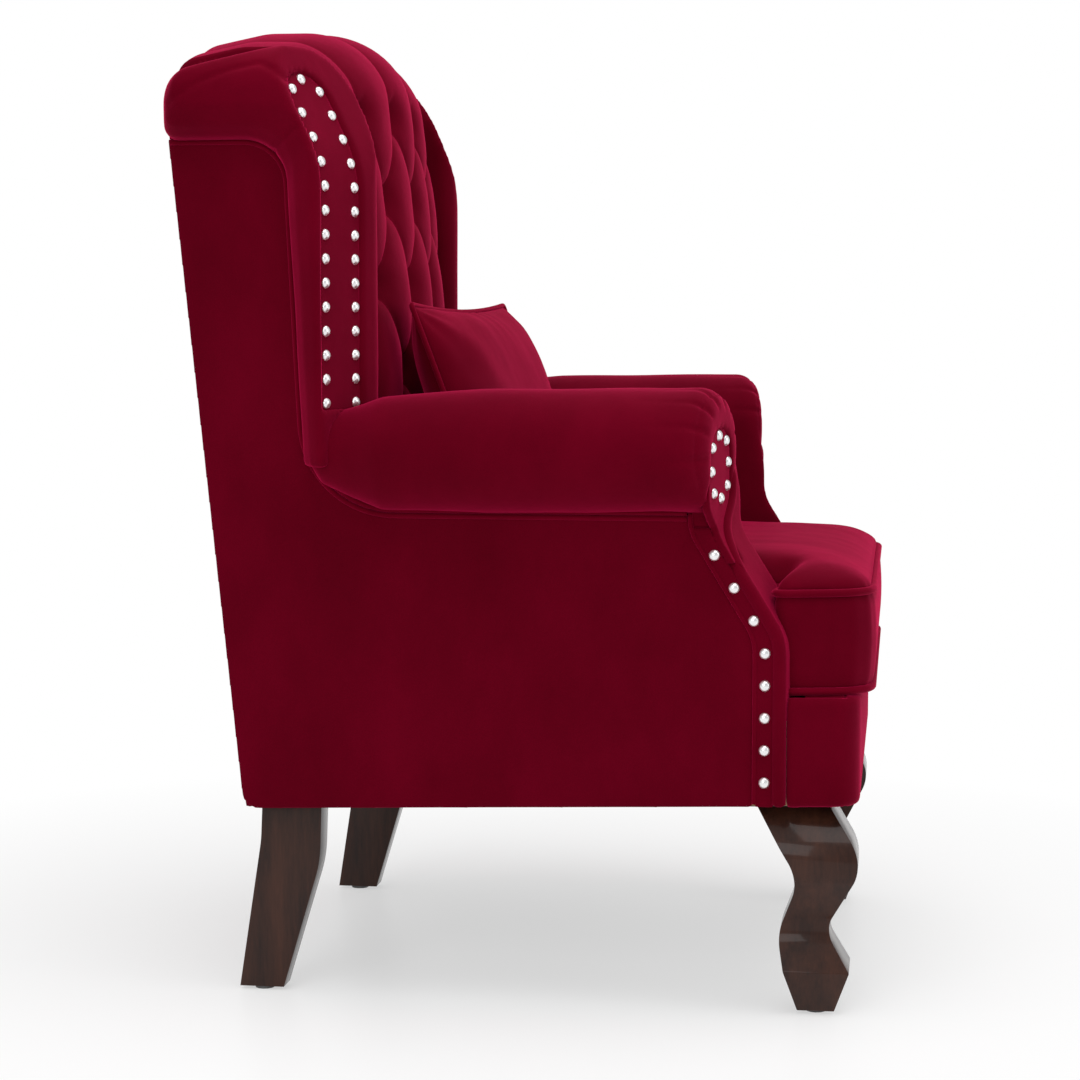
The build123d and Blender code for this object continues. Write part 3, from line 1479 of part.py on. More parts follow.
def pillow_piping():
    ring = pillow_face(1, 2 * PILLOW_WELT) - pillow_face(1, 0)
    return extrude(pillow_plane().offset(-PILLOW_WELT) * ring, 2 * PILLOW_WELT)


# Write one file for each node
def group(pieces):
    return Compound(children=[solid for piece in pieces for solid in piece.solids()])


save("front_seat_rail", front_seat_rail())
save("rear_seat_rail", rear_seat_rail())
save_pair("side_seat_rail", side_seat_rail())
save_pair("back_post", back_post())
save("lumbar_rail", lumbar_rail())
save("crest_rail", crest_rail())
save("back_webbing", group(back_webbing()))
save("corner_blocks", group(corner_blocks()))
save("leg_bolts", group(leg_bolts()))
save("leg_glides", group(leg_glides()))
save_pair("front_leg", front_leg())
save_pair("rear_leg", rear_leg())
save("seat_springs", group(seat_springs()))
save("spring_clips", group(spring_clips()))
save("seat_deck", seat_deck())
save("dust_cover", dust_cover())
save_pair("arm_board", arm_board())
save_pair("arm_post", arm_post())
save_pair("wing_board", wing_board())
save_pair("arm_pad", arm_pad())
save_pair("wing_pad", wing_pad())
save_pair("arm_front_panel", arm_front_panel())
save_pair("wing_front_panel", wing_front_panel())
save_pair("outside_side_panel", outside_side_panel())
save_pair("side_welt", side_welt())
save("outside_back_panel", outside_back_panel())
save("front_border", front_border())
save("back_pad", back_pad())
save("back_buttons", group(back_buttons()))
save_pair("wing_nails", group(wing_nails()))
save_pair("arm_nails", group(arm_nails()))
save("seat_cushion", seat_cushion())
save("cushion_piping_top", cushion_piping(top_welt_height()))
save("cushion_piping_bottom", cushion_piping(low_welt_height()))
save("throw_pillow", throw_pillow())
save("pillow_piping", pillow_piping())
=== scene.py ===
import json
import math

import bmesh
import bpy
import numpy as np
from mathutils import Matrix, Vector, noise


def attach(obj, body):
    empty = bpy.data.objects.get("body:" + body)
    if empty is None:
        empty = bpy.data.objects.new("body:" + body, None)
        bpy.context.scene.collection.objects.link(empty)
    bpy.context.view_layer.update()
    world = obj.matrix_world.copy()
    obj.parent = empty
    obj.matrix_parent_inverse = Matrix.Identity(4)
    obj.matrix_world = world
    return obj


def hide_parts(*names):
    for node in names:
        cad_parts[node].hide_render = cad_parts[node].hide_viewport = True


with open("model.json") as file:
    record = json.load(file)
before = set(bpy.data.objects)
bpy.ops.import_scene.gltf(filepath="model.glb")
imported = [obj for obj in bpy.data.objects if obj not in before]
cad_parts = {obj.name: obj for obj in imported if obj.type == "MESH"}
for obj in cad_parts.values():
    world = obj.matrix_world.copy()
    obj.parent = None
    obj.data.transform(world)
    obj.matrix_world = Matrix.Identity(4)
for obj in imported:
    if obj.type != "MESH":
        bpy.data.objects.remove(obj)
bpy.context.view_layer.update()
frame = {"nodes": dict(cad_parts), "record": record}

# Left is the sitter's left, towards +X
SIGN = {"left": 1, "right": -1}

# Materials, with colours as linear red, green and blue
VELVET_SHADES = ((0.078, 0.0003, 0.0052), (0.096, 0.0004, 0.0066), (0.122, 0.0007, 0.0090))
VELVET_SHEEN, VELVET_GLOSS = (0.80, 0.018, 0.115, 1.0), (1.0, 0.12, 0.25, 1.0)
LEG_SHADES = ((0.013, 0.0040, 0.0024), (0.052, 0.0165, 0.0085))
RAW_SHADES = ((0.36, 0.24, 0.13), (0.55, 0.4, 0.24))
LINING_SHADES = ((0.018, 0.018, 0.019), (0.04, 0.04, 0.042))
GLIDE_SHADES = ((0.1, 0.1, 0.1), (0.14, 0.14, 0.14))
CHROME_COLOUR, STEEL_COLOUR = (0.90, 0.90, 0.91), (0.5, 0.5, 0.52)


def new_material(name):
    material = bpy.data.materials.new(name)
    material.use_nodes = True
    tree = material.node_tree
    tree.nodes.clear()
    out = tree.nodes.new("ShaderNodeOutputMaterial")
    shader = tree.nodes.new("ShaderNodeBsdfPrincipled")
    tree.links.new(shader.outputs["BSDF"], out.inputs["Surface"])
    return material, tree, shader


def add(tree, kind, **values):
    """A new node; a value whose key starts with in_ goes to the input of that name."""
    node = tree.nodes.new(kind)
    for key, value in values.items():
        if key.startswith("in_"):
            node.inputs[key[3:].replace("_", " ")].default_value = value
        else:
            setattr(node, key, value)
    return node


def set_inputs(shader, values):
    for label, value in values.items():
        shader.inputs[label].default_value = value


def object_coords(tree):
    return add(tree, "ShaderNodeTexCoord").outputs["Object"]


def noise_node(tree, coords, scale, detail=3.0, rough=0.5, stretch=None):
    if stretch is not None:
        mapping = add(tree, "ShaderNodeMapping")
        mapping.inputs["Scale"].default_value = stretch
        tree.links.new(coords, mapping.inputs["Vector"])
        coords = mapping.outputs["Vector"]
    node = add(tree, "ShaderNodeTexNoise", in_Scale=scale, in_Detail=detail, in_Roughness=rough)
    tree.links.new(coords, node.inputs["Vector"])
    return node.outputs["Fac"]


def blended(tree, fine, share, coarse):
    """Coarse noise with a share of fine noise added."""
    mix = add(tree, "ShaderNodeMath", operation="MULTIPLY_ADD")
    tree.links.new(fine, mix.inputs[0])
    mix.inputs[1].default_value = share
    tree.links.new(coarse, mix.inputs[2])
    return mix.outputs["Value"]


def ramp(tree, value, places, shades):
    """Colours between shades that stand at places from 0 to 1."""
    node = add(tree, "ShaderNodeValToRGB")
    elements = node.color_ramp.elements
    while len(elements) < len(places):
        elements.new(0.5)
    for element, place, shade in zip(elements, places, shades):
        element.position = place
        element.color = (*shade, 1.0)
    tree.links.new(value, node.inputs["Fac"])
    return node.outputs["Color"]


def bump(tree, value, strength, distance, under=None):
    node = add(tree, "ShaderNodeBump", in_Strength=strength, in_Distance=distance)
    tree.links.new(value, node.inputs["Height"])
    if under is not None:
        tree.links.new(under, node.inputs["Normal"])
    return node.outputs["Normal"]


def velvet(name, tone=1.0):
    """Short pile whose nap lies in faint patches, with a sheen."""
    material, tree, shader = new_material(name)
    coords = object_coords(tree)
    nap = noise_node(tree, coords, scale=6.0, detail=4.0, rough=0.62, stretch=(1.0, 1.0, 0.7))
    pile = noise_node(tree, coords, scale=900.0, detail=2.0, rough=0.7)
    crease = noise_node(tree, coords, scale=22.0, detail=2.0, rough=0.5)
    shades = [tuple(tone * v for v in shade) for shade in VELVET_SHADES]
    colour = ramp(tree, blended(tree, pile, 0.3, nap), (0.42, 0.64, 0.9), shades)
    tree.links.new(colour, shader.inputs["Base Color"])
    creased = bump(tree, crease, strength=0.12, distance=0.01)
    tree.links.new(bump(tree, pile, strength=0.25, distance=0.0006, under=creased), shader.inputs["Normal"])
    set_inputs(shader, {
        "Roughness": 0.78, "Specular IOR Level": 0.05, "Specular Tint": VELVET_GLOSS,
        "Sheen Weight": 0.9, "Sheen Roughness": 0.42, "Sheen Tint": VELVET_SHEEN})
    return material


def wood(name, shades, rough, coat, along):
    """Grained wood under a coat; along gives the scale of its grain on each axis."""
    material, tree, shader = new_material(name)
    coords = object_coords(tree)
    grain = noise_node(tree, coords, scale=9.0, detail=6.0, rough=0.65, stretch=along)
    fine = noise_node(tree, coords, scale=60.0, detail=4.0, rough=0.7, stretch=along)
    colour = ramp(tree, blended(tree, fine, 0.45, grain), (0.5, 0.95), shades)
    tree.links.new(colour, shader.inputs["Base Color"])
    tree.links.new(bump(tree, fine, strength=0.12, distance=0.0005), shader.inputs["Normal"])
    set_inputs(shader, {
        "Roughness": rough, "Specular IOR Level": 0.15,
        "Coat Weight": coat, "Coat Roughness": 0.08, "Coat IOR": 1.3})
    return material


def metal(name, colour, rough, metallic=1.0):
    """Plain metal with faint scuffs."""
    material, tree, shader = new_material(name)
    scuffs = noise_node(tree, object_coords(tree), scale=300.0, detail=3.0, rough=0.6)
    worn = tuple(0.9 * v for v in colour)
    tree.links.new(ramp(tree, scuffs, (0.3, 0.7), (worn, colour)), shader.inputs["Base Color"])
    tree.links.new(bump(tree, scuffs, strength=0.012, distance=0.0002), shader.inputs["Normal"])
    set_inputs(shader, {"Metallic": metallic, "Roughness": rough})
    return material


def lining(name):
    """Plain woven cloth."""
    material, tree, shader = new_material(name)
    weave = add(tree, "ShaderNodeTexWave", in_Scale=220.0, in_Distortion=1.5)
    tree.links.new(object_coords(tree), weave.inputs["Vector"])
    threads = weave.outputs["Fac"]
    tree.links.new(ramp(tree, threads, (0.2, 0.8), LINING_SHADES), shader.inputs["Base Color"])
    tree.links.new(bump(tree, threads, strength=0.3, distance=0.0006), shader.inputs["Normal"])
    set_inputs(shader, {"Roughness": 0.9})
    return material


def glide_plastic(name):
    """Matt plastic with a faint speckle."""
    material, tree, shader = new_material(name)
    speckle = noise_node(tree, object_coords(tree), scale=200.0)
    tree.links.new(ramp(tree, speckle, (0.3, 0.7), GLIDE_SHADES), shader.inputs["Base Color"])
    return material


VELVET = velvet("velvet_wine")
# The welt cords and covered buttons use the same velvet painted 12% lighter, a painted highlight on them
WELT_PAINTED_LIGHTER = velvet("velvet_welt_painted_lighter", tone=1.12)
LEG = wood("leg_wood", LEG_SHADES, rough=0.34, coat=0.6, along=(4.0, 4.0, 0.5))
RAW = wood("frame_wood", RAW_SHADES, rough=0.6, coat=0.0, along=(1.0, 6.0, 6.0))
CHROME = metal("nail_chrome", CHROME_COLOUR, rough=0.28, metallic=0.82)
STEEL = metal("steel", STEEL_COLOUR, rough=0.35)
LINING = lining("lining_cloth")
GLIDE = glide_plastic("glide")

BY_SLOT = {"velvet": VELVET, "frame_wood": RAW, "leg_wood": LEG, "nails": CHROME, "steel": STEEL,
           "lining": LINING, "glide": GLIDE}
for part in frame["record"]["subparts"]:
    mesh = frame["nodes"][part["node"]].data
    mesh.materials.clear()
    mesh.materials.append(BY_SLOT[part["material_slot"]])


# Mesh helpers: ASKEW is a direction that no cord starts along, and REMESH_SHARE the most of the grid of
# cells that a shape fills
WELD = 0.00002
REMESH_SHARE = 0.95
ARC_STEPS = 16
DOME_STEPS, DOME_SIDES = 6, 20
ASKEW = (0.31, 0.52, 0.79)


def link(name, mesh, material, smooth=True):
    piece = bpy.data.objects.new(name, mesh)
    bpy.context.scene.collection.objects.link(piece)
    mesh.materials.clear()
    mesh.materials.append(material)
    for polygon in mesh.polygons:
        polygon.use_smooth = smooth
    return piece


def applied(piece):
    """The piece with its modifiers applied."""
    depsgraph = bpy.context.evaluated_depsgraph_get()
    mesh = bpy.data.meshes.new_from_object(piece.evaluated_get(depsgraph))
    piece.modifiers.clear()
    piece.data = mesh
    for polygon in mesh.polygons:
        polygon.use_smooth = True
    return piece


def mesh_from(bm, name):
    mesh = bpy.data.meshes.new(name)
    bm.to_mesh(mesh)
    bm.free()
    return mesh


def welded_copy(node):
    """The solid of a node with its faces joined at their corners."""
    bm = bmesh.new()
    bm.from_mesh(frame["nodes"][node].data)
    bmesh.ops.remove_doubles(bm, verts=bm.verts, dist=WELD)
    return bm


def faces_outward(piece):
    bm = bmesh.new()
    bm.from_mesh(piece.data)
    bmesh.ops.recalc_face_normals(bm, faces=bm.faces)
    bm.to_mesh(piece.data)
    bm.free()


def points_of(mesh):
    flat = np.empty(len(mesh.vertices) * 3)
    mesh.vertices.foreach_get("co", flat)
    return flat.reshape(-1, 3)


def set_points(mesh, points):
    mesh.vertices.foreach_set("co", points.reshape(-1))
    mesh.update()


def normals_of(mesh):
    flat = np.empty(len(mesh.vertices) * 3)
    mesh.vertices.foreach_get("normal", flat)
    return flat.reshape(-1, 3)


def add_remesh(piece, cell):
    """Adds a remesh with square cells of one size that keeps flat faces flat."""
    points = points_of(piece.data)
    size = (points.max(0) - points.min(0)).max()
    depth = math.ceil(math.log2(size / (REMESH_SHARE * cell)))
    remesh = piece.modifiers.new("remesh", "REMESH")
    remesh.mode = "SHARP"
    remesh.octree_depth = depth
    remesh.scale = size / (cell * 2 ** depth)
    remesh.use_remove_disconnected = False


def add_smooth(piece, rounds):
    smooth = piece.modifiers.new("smooth", "SMOOTH")
    smooth.factor = 0.5
    smooth.iterations = rounds


def soften(node, cell, rounds, grow=0.0004):
    """A copy of a padded node, remeshed fine, smoothed as stuffed cloth is, and grown back to its size."""
    name = node + "_soft"
    piece = link(name, mesh_from(welded_copy(node), name), VELVET)
    add_remesh(piece, cell)
    add_smooth(piece, rounds)
    applied(piece)
    set_points(piece.data, points_of(piece.data) + normals_of(piece.data) * grow)
    return piece


def dress(piece, node, body="chair"):
    """Puts a piece in the place of a node."""
    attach(piece, body)
    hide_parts(node)


def trim(piece):
    """A cord or edge that stands for no solid of its own."""
    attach(piece, "chair")


def smoothstep(low, high, value):
    t = np.clip((value - low) / (high - low), 0.0, 1.0)
    return t * t * (3 - 2 * t)


def waves(points, size, seed=0.0):
    """Smooth noise between -1 and 1 at each point."""
    shift = Vector((seed, seed * 1.7, seed * 0.6))
    return np.array([noise.noise(Vector(p) / size + shift) for p in points])


def rounded_line(corners):
    """Points along a line of straight runs joined by arcs; a corner is (y, z, radius)."""
    line = []
    count = len(corners)
    for k, (y, z, radius) in enumerate(corners):
        here = np.array((y, z))
        if radius == 0 or k in (0, count - 1):
            line.append(here)
            continue
        before = np.array(corners[k - 1][:2]) - here
        after = np.array(corners[k + 1][:2]) - here
        before /= np.linalg.norm(before)
        after /= np.linalg.norm(after)
        half = math.acos(np.clip(before @ after, -1, 1)) / 2
        centre = here + (before + after) / np.linalg.norm(before + after) * radius / math.sin(half)
        start = here + before * radius / math.tan(half) - centre
        end = here + after * radius / math.tan(half) - centre
        sweep = math.atan2(start[0] * end[1] - start[1] * end[0], start @ end)
        for step in range(ARC_STEPS + 1):
            angle = sweep * step / ARC_STEPS
            turn = np.array(((math.cos(angle), -math.sin(angle)), (math.sin(angle), math.cos(angle))))
            line.append(centre + turn @ start)
    return np.array(line)


def even_points(line, spacing):
    """The line's points set at an even spacing, and how far along each one is."""
    lengths = np.concatenate(((0.0,), np.cumsum(np.linalg.norm(np.diff(line, axis=0), axis=1))))
    count = max(2, int(round(lengths[-1] / spacing)) + 1)
    at = np.linspace(0.0, lengths[-1], count)
    return np.stack([np.interp(at, lengths, line[:, k]) for k in range(line.shape[1])], 1), at


def even_loop(outline, spacing):
    """Points at an even spacing round a closed outline, the first one also at the end."""
    return even_points(np.vstack((outline, outline[:1])), spacing)[0]


def eased_loop(path, rounds):
    """A closed path with its corners eased."""
    for _ in range(rounds):
        path = (np.roll(path, 1, 0) + 2 * path + np.roll(path, -1, 0)) / 4
    return path


def normals_along(line):
    """Direction square to a flat line at each of its points."""
    tangent = np.gradient(line, axis=0)
    tangent /= np.linalg.norm(tangent, axis=1)[:, None]
    return np.stack((-tangent[:, 1], tangent[:, 0]), 1)


def run_gap(points, a, b):
    """Distance of each flat point from the straight run between a and b."""
    t = np.clip(((points - a) @ (b - a)) / ((b - a) @ (b - a)), 0, 1)
    return np.linalg.norm(points - a - t[:, None] * (b - a), axis=1)


def grid_mesh(name, points):
    """Mesh of a grid of points, rows by columns."""
    rows, columns = points.shape[:2]
    faces = []
    for r in range(rows - 1):
        for c in range(columns - 1):
            at = r * columns + c
            faces.append((at, at + 1, at + columns + 1, at + columns))
    mesh = bpy.data.meshes.new(name)
    mesh.from_pydata([tuple(p) for p in points.reshape(-1, 3)], [], faces)
    mesh.update()
    return mesh


def circle(sides):
    """Even angles round a circle."""
    return [2 * math.pi * k / sides for k in range(sides)]


def join_rings(bm, low, high):
    """Faces between two rings of corners."""
    for k in range(len(low)):
        n = (k + 1) % len(low)
        bm.faces.new((low[k], low[n], high[n], high[k]))


def tube(name, path, radius, material=WELT_PAINTED_LIGHTER, closed=False, sides=12):
    """A round cord of cloth along a path of points."""
    path = np.asarray(path)
    if closed:
        tangents = np.roll(path, -1, 0) - np.roll(path, 1, 0)
    else:
        tangents = np.gradient(path, axis=0)
    tangents /= np.linalg.norm(tangents, axis=1)[:, None]
    normal = np.cross(tangents[0], ASKEW)
    normal /= np.linalg.norm(normal)
    rings = []
    for point, tangent in zip(path, tangents):
        normal = normal - tangent * (normal @ tangent)
        normal /= np.linalg.norm(normal)
        side = np.cross(tangent, normal)
        rings.append([point + radius * (math.cos(angle) * normal + math.sin(angle) * side)
                      for angle in circle(sides)])
    bm = bmesh.new()
    made = [[bm.verts.new(p) for p in ring] for ring in rings]
    if closed:
        gaps = [np.linalg.norm(np.roll(rings[0], -j, 0) - np.array(rings[-1])) for j in range(sides)]
        shift = int(np.argmin(gaps))
        made.append(made[0][shift:] + made[0][:shift])
    for low, high in zip(made, made[1:]):
        join_rings(bm, low, high)
    if not closed:
        bm.faces.new(list(reversed(made[0])))
        bm.faces.new(made[-1])
    bmesh.ops.recalc_face_normals(bm, faces=bm.faces)
    return link(name, mesh_from(bm, name), material)


def dome(bm, centre, normal, radius, height):
    """A nail head or button: a round cap on a flat base."""
    turn = Vector((0, 0, 1)).rotation_difference(Vector(normal)).to_matrix().to_4x4()
    place = Matrix.Translation(centre) @ turn
    rings = []
    for step in range(DOME_STEPS):
        angle = step / DOME_STEPS * math.pi / 2
        reach, rise = radius * math.cos(angle), height * math.sin(angle)
        rings.append([bm.verts.new(place @ Vector((reach * math.cos(way), reach * math.sin(way), rise)))
                      for way in circle(DOME_SIDES)])
    tip = bm.verts.new(place @ Vector((0, 0, height)))
    for low, high in zip(rings, rings[1:]):
        join_rings(bm, low, high)
    last = rings[-1]
    for k in range(DOME_SIDES):
        bm.faces.new((last[k], last[(k + 1) % DOME_SIDES], tip))
    bm.faces.new(list(reversed(rings[0])))


# Sizes of the chair that several pieces follow, in metres, with depths from the middle of the seat frame;
# the origin lies MIDDLE_Y behind that middle
MIDDLE_Y = 0.0256
REAR_Y, BASE_REAR_Z, RAKE = 0.326, 0.214, math.tan(math.radians(6))
INSIDE_X, SIDE_X = 0.238, 0.312
ROLL_X, ROLL_Z, ROLL_RADIUS = 0.304, 0.611, 0.066
ARM_FRONT_Y, ARM_TURN = -0.196, math.radians(14)
WELT_Z, WELT_TOP_Z, WELT_BEND_Y, WELT_BEND = 0.541, 0.942, 0.252, 0.100
RIPPLE, CORD_STEP, LOOP_STEP = 0.0011, 0.004, 0.005


def rear_y(z):
    return REAR_Y + (z - BASE_REAR_Z) * RAKE


# Back: deep diamonds between buttons, their folds carried over the crest
BACK_FRONT_Y, BACK_LOW_Z, BACK_BEND_Z, BACK_BEND = 0.166, 0.338, 0.700, 0.3
BACK_LEAN, BACK_CROWN, BACK_HALF, BACK_COLUMNS = math.tan(math.radians(6.5)), 0.026, 0.2355, 159
CREST_Z, CREST_FRONT_BEND, CREST_FALL_Y, CREST_FALL_BEND = 1.080, 0.098, 0.340, 0.070
CREST_EDGE_Z, CREST_EDGE_INSET, CREST_EDGE_BEND, CREST_FOOT_Z = 1.066, 0.008, 0.020, 1.034
CREST_ARCH, ARCH_RANGE, CREST_MIDDLE_Y = 0.036, (0.93, 1.07), 0.28
SIDE_RISE, SIDE_RISE_X, SIDE_RISE_WIDTH, CROWN_FADE = 0.012, 0.198, 0.038, 0.7
TUFT_X, TUFT_Z, TUFT_TOP_Z, TUFT_ROWS = 0.118, 0.098, 0.985, 6
DIAMOND_POWER, FOLD_POWER, FOLD_RANGE = 0.36, 0.5, (-0.004, 0.040)
CREASE_DEPTH, CREASE_LOSS, CREASE_RANGE, LAST_FOLD = 0.0135, 0.62, (0.02, 0.20), 0.06
DIMPLE_DEPTH, DIMPLE_REACH = 0.0150, 0.017
DISH_DEPTH, DISH_REACH = 0.0045, 0.034
PUFF_PROUD, WRINKLE, WRINKLE_SIZE, LINE_STEP = 0.0028, 0.0008, 0.035, 0.0030
BUTTON_RADIUS, BUTTON_HEIGHT, BUTTON_PROUD, BUTTON_SPAN = 0.0095, 0.0050, 0.0012, 6
# Each turn of the crest's sides, from the face inward: how deep behind the face, and how far out
SIDE_TURNS = ((0.0035, 0.2368), (0.0130, 0.2374))
ENDS_FROM_Z, COVER_THICK, FLAT_END = 0.930, 0.008, 0.999


def back_line():
    """Side view of the back pad's face, from the seat over the crest to the outside back."""
    front_top = BACK_FRONT_Y + (CREST_Z - BACK_BEND_Z) * BACK_LEAN
    corners = (
        (BACK_FRONT_Y, BACK_LOW_Z, 0),
        (BACK_FRONT_Y, BACK_BEND_Z, BACK_BEND),
        (front_top, CREST_Z, CREST_FRONT_BEND),
        (CREST_FALL_Y, CREST_Z, CREST_FALL_BEND),
        (rear_y(CREST_Z) - CREST_EDGE_INSET, CREST_EDGE_Z, CREST_EDGE_BEND),
        (rear_y(CREST_FOOT_Z), CREST_FOOT_Z, 0),
    )
    return even_points(rounded_line(corners), LINE_STEP)


def button_places():
    """Each button's place across the back, and its length below the top row."""
    places = []
    for row in range(TUFT_ROWS):
        count = 4 if row % 2 == 0 else 3
        places += [((k - (count - 1) / 2) * TUFT_X, TUFT_Z * row) for k in range(count)]
    return places


def tuft_depth(x, up):
    """How far the cloth is pulled in at x and at a length above the top row of buttons."""
    u = x / TUFT_X + up / (2 * TUFT_Z)
    v = x / TUFT_X - up / (2 * TUFT_Z)
    diamond = np.abs(np.cos(np.pi * u) * np.cos(np.pi * v)) ** DIAMOND_POWER
    folds = np.abs(np.cos(np.pi * x / TUFT_X)) ** FOLD_POWER
    over = smoothstep(*FOLD_RANGE, up)
    puff = diamond * (1 - over) + folds * over
    crease = CREASE_DEPTH * (1 - CREASE_LOSS * smoothstep(*CREASE_RANGE, up))
    last_row = -TUFT_Z * (TUFT_ROWS - 1)
    depth = crease * (1 - puff) * smoothstep(last_row - LAST_FOLD, last_row, up)
    for place, below in button_places():
        far = np.hypot(x - place, up + below)
        depth = depth + DIMPLE_DEPTH * np.exp(-((far / DIMPLE_REACH) ** 2))
        depth = depth + DISH_DEPTH * np.exp(-((far / DISH_REACH) ** 2))
    return depth


def back_surface():
    """Points of the back's face, the way out of each row, and each row's length above the top buttons."""
    line, along = back_line()
    outward = normals_along(line)
    xs = np.linspace(-BACK_HALF, BACK_HALF, BACK_COLUMNS)
    behind_crest = line[:, 0] > CREST_MIDDLE_Y
    start = along[int(np.argmin(np.abs(line[:, 1] - TUFT_TOP_Z) + 10 * behind_crest))]
    rows_up = along - start
    x = np.tile(xs, (len(line), 1))
    up = np.tile(rows_up[:, None], (1, len(xs)))
    at_sides = np.clip((np.abs(x) - SIDE_RISE_X) / SIDE_RISE_WIDTH, 0, 1) ** 2
    crown = BACK_CROWN * (x / INSIDE_X) ** 2 + SIDE_RISE * at_sides
    facing_front = np.clip(-outward[:, :1], 0, 1) ** CROWN_FADE
    depth = tuft_depth(x, up) - PUFF_PROUD
    y = line[:, :1] - outward[:, :1] * depth + crown * facing_front
    z = line[:, 1:] - outward[:, 1:] * depth
    radius = (INSIDE_X ** 2 + CREST_ARCH ** 2) / (2 * CREST_ARCH)
    arch = radius - np.sqrt(radius ** 2 - x ** 2)
    z = z - arch * smoothstep(*ARCH_RANGE, z)
    points = np.stack((x, y - MIDDLE_Y, z), 2)
    wrinkle = waves(points.reshape(-1, 3), WRINKLE_SIZE, seed=3.0).reshape(x.shape)
    points[:, :, 1] += WRINKLE * wrinkle
    return points, outward, rows_up


def turned_in(points, outward, column, depth, reach):
    """A column of points beyond a side of the sheet, turned in towards the rail."""
    at = points[:, column].copy()
    at[:, 0] = np.sign(at[:, 0]) * reach
    at[:, 1:] -= outward * depth
    return at[:, None]


def close_ends(mesh, sheet):
    """Closes the two sides of the roll over the crest."""
    bm = bmesh.new()
    bm.from_mesh(mesh)
    bm.verts.ensure_lookup_table()
    rows = [int(r) for r in np.flatnonzero(sheet[:, 0, 2] > ENDS_FROM_Z)]
    columns = sheet.shape[1]
    right_end = [bm.verts[r * columns] for r in rows]
    left_end = [bm.verts[r * columns + columns - 1] for r in rows[::-1]]
    ends = [bm.faces.new(right_end), bm.faces.new(left_end)]
    bmesh.ops.triangulate(bm, faces=ends)
    bm.to_mesh(mesh)
    bm.free()


def back_cover(points, outward):
    sides = [turned_in(points, outward, column, depth, reach)
             for column in (0, -1) for depth, reach in SIDE_TURNS]
    sheet = np.concatenate((sides[1], sides[0], points, sides[2], sides[3]), 1)
    mesh = grid_mesh("back_tufted", sheet)
    close_ends(mesh, sheet)
    piece = link("back_tufted", mesh, VELVET)
    shell = piece.modifiers.new("shell", "SOLIDIFY")
    shell.thickness = COVER_THICK
    shell.offset = -1.0
    applied(piece)
    faces_outward(piece)
    for face in piece.data.polygons:
        if abs(face.normal.x) > FLAT_END:
            face.use_smooth = False
    dress(piece, "back_pad")


def covered_buttons(points, rows_up):
    bm = bmesh.new()
    for place, below in button_places():
        r = int(np.argmin(np.abs(rows_up + below)))
        c = int(np.argmin(np.abs(points[0, :, 0] - place)))
        run = points[r + BUTTON_SPAN, c] - points[max(r - BUTTON_SPAN, 0), c]
        normal = Vector((0.0, -run[2], run[1])).normalized()
        dome(bm, Vector(points[r, c]) + normal * BUTTON_PROUD, normal, BUTTON_RADIUS, BUTTON_HEIGHT)
    dress(link("buttons_covered", mesh_from(bm, "buttons_covered"), WELT_PAINTED_LIGHTER), "back_buttons")


def back():
    points, outward, rows_up = back_surface()
    back_cover(points, outward)
    covered_buttons(points, rows_up)


back()


# Arms: the roll's front rim rounded over, with pleats fanned round the scroll
ARM_RIM, RIM_LOW_Z, RIM_DEPTH = 0.024, 0.535, 0.09
RIM_OUTER_RANGE, RIM_INNER_RANGE = (0.538, 0.575), (0.545, 0.615)
OUTER_FACE, UNDER_Z, UNDER_RANGE = (0.298, 0.309), ROLL_Z - 0.004, (-0.15, -0.05)
BEND_START_Y, BEND_LIMIT = 0.152, 0.098
SLICES, SLICE_HALF, NO_ROLL_Z = np.arange(-0.18, 0.2441, 0.006), 0.005, 0.60
REAR_REACH, REAR_RANGE = 0.017, (0.190, 0.240)
RIM_FOOT_X, RIM_FOOT_RANGE, RIM_FOOT_TOP_Z, RIM_FOOT_Y = 0.3122, (0.425, 0.488), 0.497, -0.15
PLEAT_ANGLES, PLEAT_WIDTH = np.radians((-8, 24, 52, 78, 104, 132, 160)), 0.055
PLEAT_DEPTH, PLEAT_LENGTH, PLEAT_RANGE, PLEAT_DROP = 0.0026, 0.026, (0.040, 0.054), 0.04
PLEAT_BACK, RIPPLE_RANGE = 0.7, (0.02, 0.06)
WELT_ROOM, LEAST_ROOM, MOST_STRETCH = 0.001, 0.008, 3.0


def pleats(angle):
    """Depth share of narrow folds at some angles."""
    share = np.zeros_like(angle)
    for place in PLEAT_ANGLES:
        away = (angle - place + np.pi) % (2 * np.pi) - np.pi
        share = np.maximum(share, np.exp(-((away / PLEAT_WIDTH) ** 2)))
    return share


def welt_z(y):
    """Height of the welt under the roll, which bends up towards the wing."""
    bend = np.clip(y - BEND_START_Y, 0, BEND_LIMIT)
    rise = np.sqrt(np.clip(WELT_BEND ** 2 - bend ** 2, 0, 1))
    return np.where(y < BEND_START_Y, WELT_Z, WELT_Z + WELT_BEND - rise)


def lowest_of_roll(x, y, z):
    """Height of the roll's outer face at its lowest, at each point's depth."""
    low = [z[(np.abs(y - at) < SLICE_HALF) & (x > OUTER_FACE[1])].min(initial=NO_ROLL_Z) for at in SLICES]
    even = np.convolve(np.pad(np.array(low), 2, mode="edge"), np.full(5, 0.2), "valid")
    return np.interp(y, SLICES, even)


def drawn_to_welt(x, y, z, outer):
    """Heights with the roll's underside drawn down to the welt."""
    room = UNDER_Z - lowest_of_roll(x, y, z)
    wanted = UNDER_Z - welt_z(y) - WELT_ROOM
    stretch = np.clip(wanted / np.maximum(room, LEAST_ROOM), 1.0, MOST_STRETCH)
    under = outer * smoothstep(*UNDER_RANGE, y) * (z < UNDER_Z)
    return np.where(z < UNDER_Z, UNDER_Z - (UNDER_Z - z) * (1 + (stretch - 1) * under), z)


